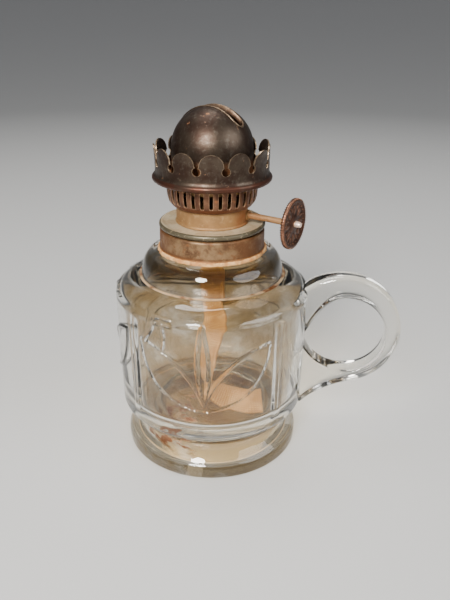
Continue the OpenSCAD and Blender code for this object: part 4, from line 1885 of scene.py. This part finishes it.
@dataclass
class Burner:
    """The screw-in burner: cap, drum, slotted basket and the works inside."""

    rings: RingMaker
    sheet: float = 0.5
    plate: float = 0.6
    roll: float = 1.0
    plate_hole: float = 7.0
    skirt_r: float = 13.8
    pitch: float = 2.0
    thread: float = 0.4
    thread_rows: int = 36
    foot_bead: float = 0.35
    bars: int = 32
    slot_w: float = 1.4
    slot_foot: float = 2.0
    top_band: float = 1.0
    bar_bow: float = 0.12
    shaft_at: float = 62.0
    shaft_rust: float = 20.0
    rust: float = 0.85
    foot_dirt: float = 0.8
    rim_dark: float = 2.0
    rim_turn: Span = (128.0, -150.0)
    rim_steps: int = 22
    dish_in: float = 1.6
    dish_drop: float = 0.12
    cap_segments: int = 192
    cap_dent: float = 0.06
    cap_dents: Waves = ((4, 0.2, 0.0), (7, 1.4, 0.0))
    drum_segments: int = 160
    drum_dent: float = 0.09
    drum_dents: Waves = ((3, 1.1, 0.3), (8, 0.4, -0.5))
    seat: Span = (1.3, 0.5)
    wall_gap: float = 0.2
    wall_bend: Span = (0.05, 0.6)
    wall_steps: int = 60
    wall_skip: int = 5
    bar_rows: int = 7
    slot_ends: tuple[float, ...] = (0.0, 0.05, 0.15, 0.35, 0.65, 1.0)
    columns: tuple[float, ...] = (-1, -0.8, -0.4, 0, 0.4, 0.8, 1)

    def build(self) -> None:
        """Build the burner's pieces and dress them."""
        settle(self.cap(), CAP_BRASS.material(), Body.BURNER, "cap_brass", "burner_cap")
        drum_brass = DRUM_BRASS.material()
        settle(self.drum(), drum_brass, Body.BURNER, "drum_brass", "burner_drum")
        basket_brass = BASKET_BRASS.material()
        settle(self.basket(basket_brass), basket_brass, Body.BURNER, "basket_brass", "air_basket")
        dress_nodes(INNER_BRASS.material(), "bottom_plate", "wick_tube", "vent_tube", "spur_housing")
        dress_nodes(drum_brass, "shaft_bushing")
        dress_nodes(LEATHER.material(), "cap_washer")

    def cap(self) -> bpy.types.Object:
        """The flange plate with its rolled rim and screw skirt.

        Returns:
            The piece.
        """
        low, high = corners("burner_cap")
        drum_low, drum_high = corners("burner_drum")
        top, under = drum_low.z, drum_low.z - self.plate
        roll_r, roll_z = high.x - self.roll, high.z - self.roll
        path: Outline = [(self.plate_hole, top)]
        path += line((drum_high.x, top), (roll_r - self.dish_in, top - self.dish_drop), 4)
        path += arc((roll_r, roll_z), self.roll, *self.rim_turn, self.rim_steps)
        inner_r = self.skirt_r - self.plate
        path += line((self.skirt_r, under), (self.skirt_r, low.z), self.thread_rows)
        path += line((inner_r, low.z), (inner_r, under), self.thread_rows)
        path += [(self.plate_hole, under)]
        dark = [self.rim_dark if q > roll_r + 0.4 * self.roll else 0.0 for q, _ in path]
        brown = [1.0 if q < self.skirt_r + 0.1 and z < under else 0.0 for q, z in path]
        marks = {Mark.WEAR: dark, Mark.GRIME: brown}
        piece = turn_outline("cap_plate", path, self.cap_segments, self.screw, marks=marks)
        smooth(piece)
        return piece

    def screw(self, turn: np.ndarray, radius: float, z: float) -> np.ndarray:
        """The thread rolled into the skirt, and the small dents of the plate.

        Args:
            turn: Angles about the axis.
            radius: Radius of the outline's point.
            z: Its height.

        Returns:
            What is added to the radius.
        """
        if abs(radius - self.skirt_r + self.plate / 2) > self.plate:
            return uneven(self.cap_dent, self.cap_dents)(turn, radius, z)
        foot = corners("burner_cap")[0].z
        head = corners("burner_drum")[0].z - self.plate
        fade = min(1.0, (z - foot) / self.pitch, (head - z) / self.pitch)
        return -self.thread * fade * (0.5 - 0.5 * np.cos(2 * math.pi * z / self.pitch - turn))

    def drum(self) -> bpy.types.Object:
        """The plain drum, with a small spun foot.

        Returns:
            The piece.
        """
        low, high = corners("burner_drum")
        r = high.x
        bead = self.foot_bead
        path: Outline = [(r - self.sheet, low.z)]
        path += arc((r, low.z + bead), bead, -80, 70, 5)
        path += bend((r, low.z + 2.4 * bead), (r, low.z + 3 * bead), (r, low.z + 4 * bead), 3)
        path += line((r, low.z + 4 * bead), (r, high.z), 5)[1:]
        path += [(r - self.sheet, high.z)]
        dents = uneven(self.drum_dent, self.drum_dents)
        piece = turn_outline("drum_sheet", path, self.drum_segments, dents)
        away = (polar(piece)[0] - self.shaft_at) / self.shaft_rust
        add_mark(piece, Mark.GRIME, self.rust * np.exp(-(away**2)))
        smooth(piece)
        return piece

    def basket(self, material: bpy.types.Material) -> bpy.types.Object:
        """The draught basket: one bar with its bands, set round the axis.

        Args:
            material: The basket's finish.

        Returns:
            The piece.
        """
        low, high = corners("air_basket")
        drum_r = corners("burner_drum")[1].x
        half = self.sheet / 2
        r, z0, top = high.x - half, low.z + half, high.z
        height = top - low.z
        step = math.pi / self.bars
        pull_z, wall_foot = (z0 + share * height for share in self.wall_bend)
        start, pull = (drum_r + self.wall_gap, z0), (r - self.wall_gap, pull_z)
        wall_r, wall_z = np.array(bend(start, pull, (r, wall_foot), self.wall_steps)).T
        slot_low, slot_high = low.z + self.slot_foot, top - self.top_band
        reach = self.slot_w / 2
        ends = reach * np.array(self.slot_ends)
        belly = [z for z in wall_z[:: self.wall_skip] if z < slot_low - 0.1]
        middle = np.linspace(slot_low + 2 * reach, slot_high - 2 * reach, self.bar_rows)
        levels = [*belly, *(slot_low + ends), *middle, *(slot_high - ends[::-1]), top]
        rows = [(drum_r - inset, z0, step) for inset in self.seat]
        for z in levels:
            q = float(np.interp(z, wall_z, wall_r)) if z < wall_z[-1] else r
            inset = max(0.0, min(z - slot_low, slot_high - z))
            gap = reach * math.sqrt(max(0.0, 1 - max(0.0, 1 - inset / reach) ** 2))
            rows.append((q, float(z), step - gap / r))
        seed = sheet_sector("basket_sheet", rows, self.columns, self.bar_bow)
        self.rings.cast(seed, self.bars, material, thickness=self.sheet)
        smooth(seed, 50)
        add_mark(seed, Mark.GRIME, self.foot_dirt * (polar(seed)[2] < slot_low))
        return seed


@dataclass
class Gallery:
    """The crown of petals, the slotted dome on it and the ring that seats them."""

    rings: RingMaker
    sheet: float = 0.5
    roll: float = 1.1
    petals: int = 13
    petal_in: float = 1.4
    slit: float = 1.4
    keyhole_r: float = 1.4
    keyhole_drop: float = 1.6
    first_petal: float = -84.0
    lean: float = 1.3
    slot_l: float = 23.0
    slot_w: float = 4.2
    turn: float = -26.0
    skirt: float = 10.1
    petal_foot: float = 3.4
    lean_from: float = 1.5
    floor_in: float = 1.3
    floor_out: float = 2.4
    floor_rust: float = 0.7
    rim_dirt: float = 0.9
    keyhole_turns: tuple[float, ...] = (-90, -70, -50, -30, -10, 10, 30, 50, 69)
    lobe_turns: tuple[float, ...] = (0, 12, 24, 36, 48, 58, 67, 75, 82, 87, 90)
    columns: tuple[float, ...] = (-1, -0.92, -0.55, -0.2, 0.2, 0.55, 0.92, 1)
    dome_segments: int = 160
    dome_rows: int = 36
    skirt_rows: int = 6
    dent: float = 0.1
    dents: Waves = ((2, 0.5, 0.1), (3, 1.3, -0.15), (5, 0.2, 0.22))
    # Pale rust tan on the dome's skirt, up to the petals: partly a real stain, partly painted light for the
    # shaded skirt seen through the keyholes.
    rust_and_lit_h: float = 8.0
    rust_and_lit_fade: float = 3.0
    rust_and_lit_most: float = 0.9
    stain_inside: float = 0.6
    slot_ends: int = 12
    slot_sides: int = 24
    tool_ends: Span = (1.0, 2.0)
    lip_out: tuple[float, ...] = (0.62, 0.6, 0.36, 0.05, -0.18, -0.2, 0.16, 0.2)
    lip_up: tuple[float, ...] = (-0.12, 0.16, 0.34, 0.3, 0.08, -1.5, -1.5, -0.3)
    lip_wear: tuple[float, ...] = (0.0, 0.2, 0.6, 0.7, 0.3, 0.0, 0.0, 0.0)
    lip_rust: tuple[float, ...] = (0.0, 0.0, 0.0, 0.1, 0.15, 0.1, 0.1, 0.0)

    def build(self) -> None:
        """Build the crown and the dome and dress them."""
        brass = CROWN_BRASS.material()
        settle(self.crown(brass), brass, Body.GALLERY, "crown_brass", "crown")
        settle(self.dome(), brass, Body.GALLERY, "crown_brass", "dome")
        dress_nodes(INNER_BRASS.material(), "spring_ring")

    def crown(self, material: bpy.types.Material) -> bpy.types.Object:
        """The rolled rim and its petals: one petal with its share of the rim, set round the axis.

        Args:
            material: The crown's finish.

        Returns:
            The piece.
        """
        low, high = corners("crown")
        rim_r, z0, top = high.x, low.z, high.z
        half = self.sheet / 2
        petal_r = rim_r - self.petal_in
        pitch = 2 * math.pi * petal_r / self.petals
        lobe_r = (pitch - self.slit) / 2
        lobe_z = top - lobe_r
        key_z = lobe_z - self.keyhole_drop
        full = math.pi / self.petals
        foot_z = z0 + self.petal_foot * self.roll
        floor = (corners("dome")[1].x - self.floor_in, rim_r - self.floor_out * self.roll)
        rows = [(q, z0 + half, full) for q in floor]
        for q, z in arc((rim_r - self.roll, z0 + self.roll), self.roll - half, -90, 55, 9):
            rows.append((q, z, full))
        last = rows[-1]
        for q, z in bend(last[:2], (petal_r + 0.05, last[1] + 0.7), (petal_r, foot_z), 5)[1:]:
            rows.append((q, z, full))
        for angle in np.radians(self.keyhole_turns):
            width = pitch / 2 - self.keyhole_r * math.cos(angle)
            rows.append((petal_r, key_z + self.keyhole_r * math.sin(angle), min(width / petal_r, full)))
        for angle in np.radians(self.lobe_turns):
            width = lobe_r * math.cos(angle)
            rows.append((petal_r, lobe_z + lobe_r * math.sin(angle), width / petal_r))
        # The petals' slit edges take the worn mark: rubbed brass and a painted edge highlight.
        seed = sheet_sector("petal_crown", rows, self.columns)
        lean = (self.lean, foot_z + self.lean_from, top)
        self.rings.cast(seed, self.petals, material, self.first_petal, lean, self.sheet)
        smooth(seed, 50)
        _, r, z = polar(seed)
        add_mark(seed, Mark.INSIDE, (z < z0 + self.floor_rust) & (r < rim_r - self.roll))
        on_rim = (z < z0 + 2 * self.roll) & (r > rim_r - 1.5 * self.roll)
        add_mark(seed, Mark.GRIME, self.rim_dirt * on_rim)
        return seed

    def dome(self) -> bpy.types.Object:
        """The flame dome with its long slot and turned lip.

        Returns:
            The piece.
        """
        low, high = corners("dome")
        r, mid = high.x, low.z + self.skirt
        inner = r - self.sheet
        path: Outline = arc((0, mid), inner, 90, 0, self.dome_rows)
        path[0] = (0.0, mid + inner)
        path += line((inner, mid), (inner, low.z), self.skirt_rows)[1:]
        path += line((r, low.z), (r, mid), self.skirt_rows)
        path += arc((0, mid), r, 0, 90, self.dome_rows)[1:]
        path[-1] = (0.0, mid + r)
        dents = uneven(self.dent, self.dents)
        piece = turn_outline("flame_dome", path, self.dome_segments, dents, closed=False)
        combine(piece, self.slot_tool(mid, r), "DIFFERENCE")
        smooth(piece, 50)
        points = np.array([v.co for v in piece.data.vertices]) / MM
        from_mid = np.linalg.norm(points - (0, 0, mid), axis=1)
        reach = np.where(points[:, 2] > mid, from_mid, np.hypot(points[:, 0], points[:, 1]))
        # Rust tan carried up the skirt to the petals: a real stain, and painted light so the shaded skirt
        # reads as lit through the keyholes and slits.
        skirt = np.clip((low.z + self.rust_and_lit_h - points[:, 2]) / self.rust_and_lit_fade, 0, self.rust_and_lit_most)
        add_mark(piece, Mark.INSIDE, np.maximum(skirt, self.stain_inside * (reach < r - 0.3)))
        gather(piece, [self.slot_lip(mid, r)])
        return piece

    def slot_edge(self) -> np.ndarray:
        """Plan of the slot: a long oval, turned with the wick.

        Returns:
            Points of the oval.
        """
        half = self.slot_w / 2
        flat = self.slot_l / 2 - half
        oval = arc((flat, 0), half, -90, 90, self.slot_ends)
        oval += line((flat, half), (-flat, half), self.slot_sides)[1:-1]
        oval += arc((-flat, 0), half, 90, 270, self.slot_ends)
        oval += line((-flat, -half), (flat, -half), self.slot_sides)[1:-1]
        c, s = math.cos(math.radians(self.turn)), math.sin(math.radians(self.turn))
        return np.array(oval) @ np.array([[c, s], [-s, c]])

    def slot_tool(self, mid: float, r: float) -> bpy.types.Object:
        """The upright oval bar that cuts the slot.

        Args:
            mid: Height of the dome's centre.
            r: The dome's radius.

        Returns:
            The closed shape.
        """
        oval = self.slot_edge()
        levels = (mid + self.tool_ends[0], mid + r + self.tool_ends[1])
        return loft("slot_tool", [np.column_stack([oval, np.full(len(oval), z)]) for z in levels])

    def slot_lip(self, mid: float, r: float) -> bpy.types.Object:
        """The edge of the slot, turned over outside and down inside.

        Args:
            mid: Height of the dome's centre.
            r: The dome's radius.

        Returns:
            The piece.
        """
        oval = self.slot_edge()
        count = len(oval)
        shape = list(zip(self.lip_out, self.lip_up))
        upright = np.array([0, 0, 1.0])
        sections = []
        for k in range(count):
            spot = np.array([*oval[k], math.sqrt(r * r - oval[k] @ oval[k])])
            ahead = oval[(k + 1) % count] - oval[k - 1]
            out = np.array([ahead[1], -ahead[0], 0]) / np.linalg.norm(ahead)
            normal = spot / r
            out = out - (out @ normal) * normal
            out = out / np.linalg.norm(out)
            ring = [spot + a * out + b * (normal if b > -1 else upright) for a, b in shape]
            sections.append(np.array(ring) + (0, 0, mid))
        piece = loft("slot_lip", sections, loop=True)
        add_mark(piece, Mark.WEAR, np.tile(self.lip_wear, count))
        add_mark(piece, Mark.INSIDE, np.tile(self.lip_rust, count))
        smooth(piece, 60)
        return piece


@dataclass(frozen=True)
class Boss:
    """A small egg-shaped boss, and how often it is set round the thumbwheel."""

    name: str
    place: Spot
    size: Place
    wear: float
    count: int
    start: float = 0.0
    around: int = 10
    rows: int = 6

    def seed(self) -> bpy.types.Object:
        """One copy of the boss, with its top rubbed.

        Returns:
            The seed.
        """
        path: Outline = arc((0, 0), 1, -90, 90, self.rows)
        path[0], path[-1] = (0.0, -1.0), (0.0, 1.0)
        rubbed = [max(0.0, z) * self.wear for _, z in path]
        piece = turn_outline(self.name, path, self.around, closed=False, marks={Mark.WEAR: rubbed})
        piece.data.transform(Matrix.Diagonal((*self.size, 1)))
        piece.data.transform(Matrix.Translation(Vector((self.place[0], 0, self.place[1])) * MM))
        return piece


@dataclass
class Raiser:
    """The shaft that raises the wick, with its thumbwheel."""

    rings: RingMaker
    shaft_r: float = 1.1
    wheel_t: float = 1.2
    rim_r: float = 0.75
    notches: int = 60
    leaves: int = 8
    beads: int = 24
    wire_segments: int = 40
    wire_rows: int = 20
    wire_soft: float = 0.2
    wire_end: float = 3.4
    head: Curve = ((0.0, 2.4), (0.0, 0.4), (0.35, 0.15))
    head_flat: float = 0.4
    bright: float = 2.2
    kink: float = 0.03
    kinks: Waves = ((2, 0, 0.9), (3, 1, 0.4))
    wheel_segments: int = 180
    fit: float = 0.05
    rim_turn: float = 110.0
    rim_steps: int = 14
    back_in: float = 1.0
    web: Spot = (0.9, 0.45)
    hub: Curve = ((3.0, -0.35), (2.6, 0.0), (2.0, 0.15))
    dish: float = 0.42

    def build(self) -> None:
        """Build the shaft and the wheel and dress them."""
        copper = WHEEL_COPPER.material()
        settle(self.shaft(), SHAFT_WIRE.material(), Body.RAISER, "shaft_metal", "raiser_shaft")
        settle(self.wheel(copper), copper, Body.RAISER, "thumbwheel_copper", "thumbwheel")
        dress_nodes(copper, "thumbwheel_hub")
        dress_nodes(INNER_BRASS.material(), "inner_spur_wheel", "outer_spur_wheel")

    def direction(self) -> Vector:
        """Direction of the shaft, outwards to the wheel.

        Returns:
            The direction, level and of length 1.
        """
        low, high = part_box("thumbwheel")
        inner_low, inner_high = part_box("raiser_shaft")
        out = (low + high) / 2 - (inner_low + inner_high) / 2
        return Vector((out.x, out.y, 0)).normalized()

    def stand(self, piece: bpy.types.Object, middle: Vector) -> None:
        """Move a piece that was made about Z onto the shaft.

        Args:
            piece: The piece.
            middle: Where its origin goes, in millimetres.
        """
        turn = self.direction().to_track_quat("Z", "X").to_matrix().to_4x4()
        piece.data.transform(Matrix.Translation(middle * MM) @ turn)

    def shaft(self) -> bpy.types.Object:
        """The wire shaft, headed over the wheel.

        Returns:
            The piece.
        """
        low, high = corners("raiser_shaft")
        out = self.direction()
        half = ((high.x - low.x) - 2 * self.shaft_r * abs(out.y)) / abs(out.x) / 2
        r = self.shaft_r
        start = -half + self.wire_soft
        path: Outline = [(0.0, -half), (r - self.wire_soft, -half), (r, start)]
        path += line((r, start), (r, half - self.wire_end), self.wire_rows)[1:]
        path += bend(*((r - inset, half - drop) for inset, drop in self.head), 5)
        path += [(self.head_flat, half), (0.0, half)]
        marks = {Mark.WEAR: [1.0 if z > half - self.bright else 0.0 for _, z in path]}
        kinks = uneven(self.kink, self.kinks)
        piece = turn_outline("raiser_wire", path, self.wire_segments, kinks, False, marks)
        smooth(piece)
        self.stand(piece, (low + high) / 2)
        return piece

    def wheel(self, material: bpy.types.Material) -> bpy.types.Object:
        """The thumbwheel: a dished disc with a round rim, milled edge and a leaf rosette.

        Args:
            material: The wheel's finish.

        Returns:
            The piece.
        """
        low, high = corners("thumbwheel")
        r = (high.z - low.z) / 2
        t = self.wheel_t / 2
        rim = r - self.rim_r
        bore, face = self.shaft_r - self.fit, t - self.dish
        path: Outline = [(bore, -t), (rim - self.back_in, -t)]
        path += arc((rim, 0), self.rim_r, -self.rim_turn, self.rim_turn, self.rim_steps)
        path += [(rim - self.web[0], t - self.web[1])]
        path += [(q, t + rise) for q, rise in self.hub]
        path += [(bore, path[-1][1])]
        wear = [min(1.0, max(0.0, (q - rim) / self.rim_r)) for q, _ in path]
        disc = turn_outline("thumbwheel_disc", path, self.wheel_segments, marks={Mark.WEAR: wear})
        bosses = (
            Boss("rim_notch", (rim + self.rim_r - 0.12, 0), (0.24, 0.2, 0.85), 0.7, self.notches),
            Boss("rosette_leaf", (4.9, face), (1.75, 0.95, 0.36), 0.35, self.leaves),
            Boss("rosette_point", (5.6, face), (1.1, 0.42, 0.34), 0.4, self.leaves, 180 / self.leaves),
            Boss("rosette_bead", (rim - 0.85, face), (0.28, 0.28, 0.34), 0.6, self.beads),
        )
        seeds = [boss.seed() for boss in bosses]
        for boss, seed in zip(bosses, seeds):
            self.rings.cast(seed, boss.count, material, boss.start)
        gather(disc, seeds)
        smooth(disc, 50)
        self.stand(disc, (low + high) / 2)
        return disc


def main() -> None:
    """Build the lamp's looks in order."""
    logging.basicConfig(level=logging.INFO, format="%(name)s: %(message)s")
    Studio().build()
    Wick().build()
    GlassFont().build()
    Collar().build()
    rings = RingMaker()
    Burner(rings).build()
    Gallery(rings).build()
    Raiser(rings).build()


if __name__ == "__main__":
    main()
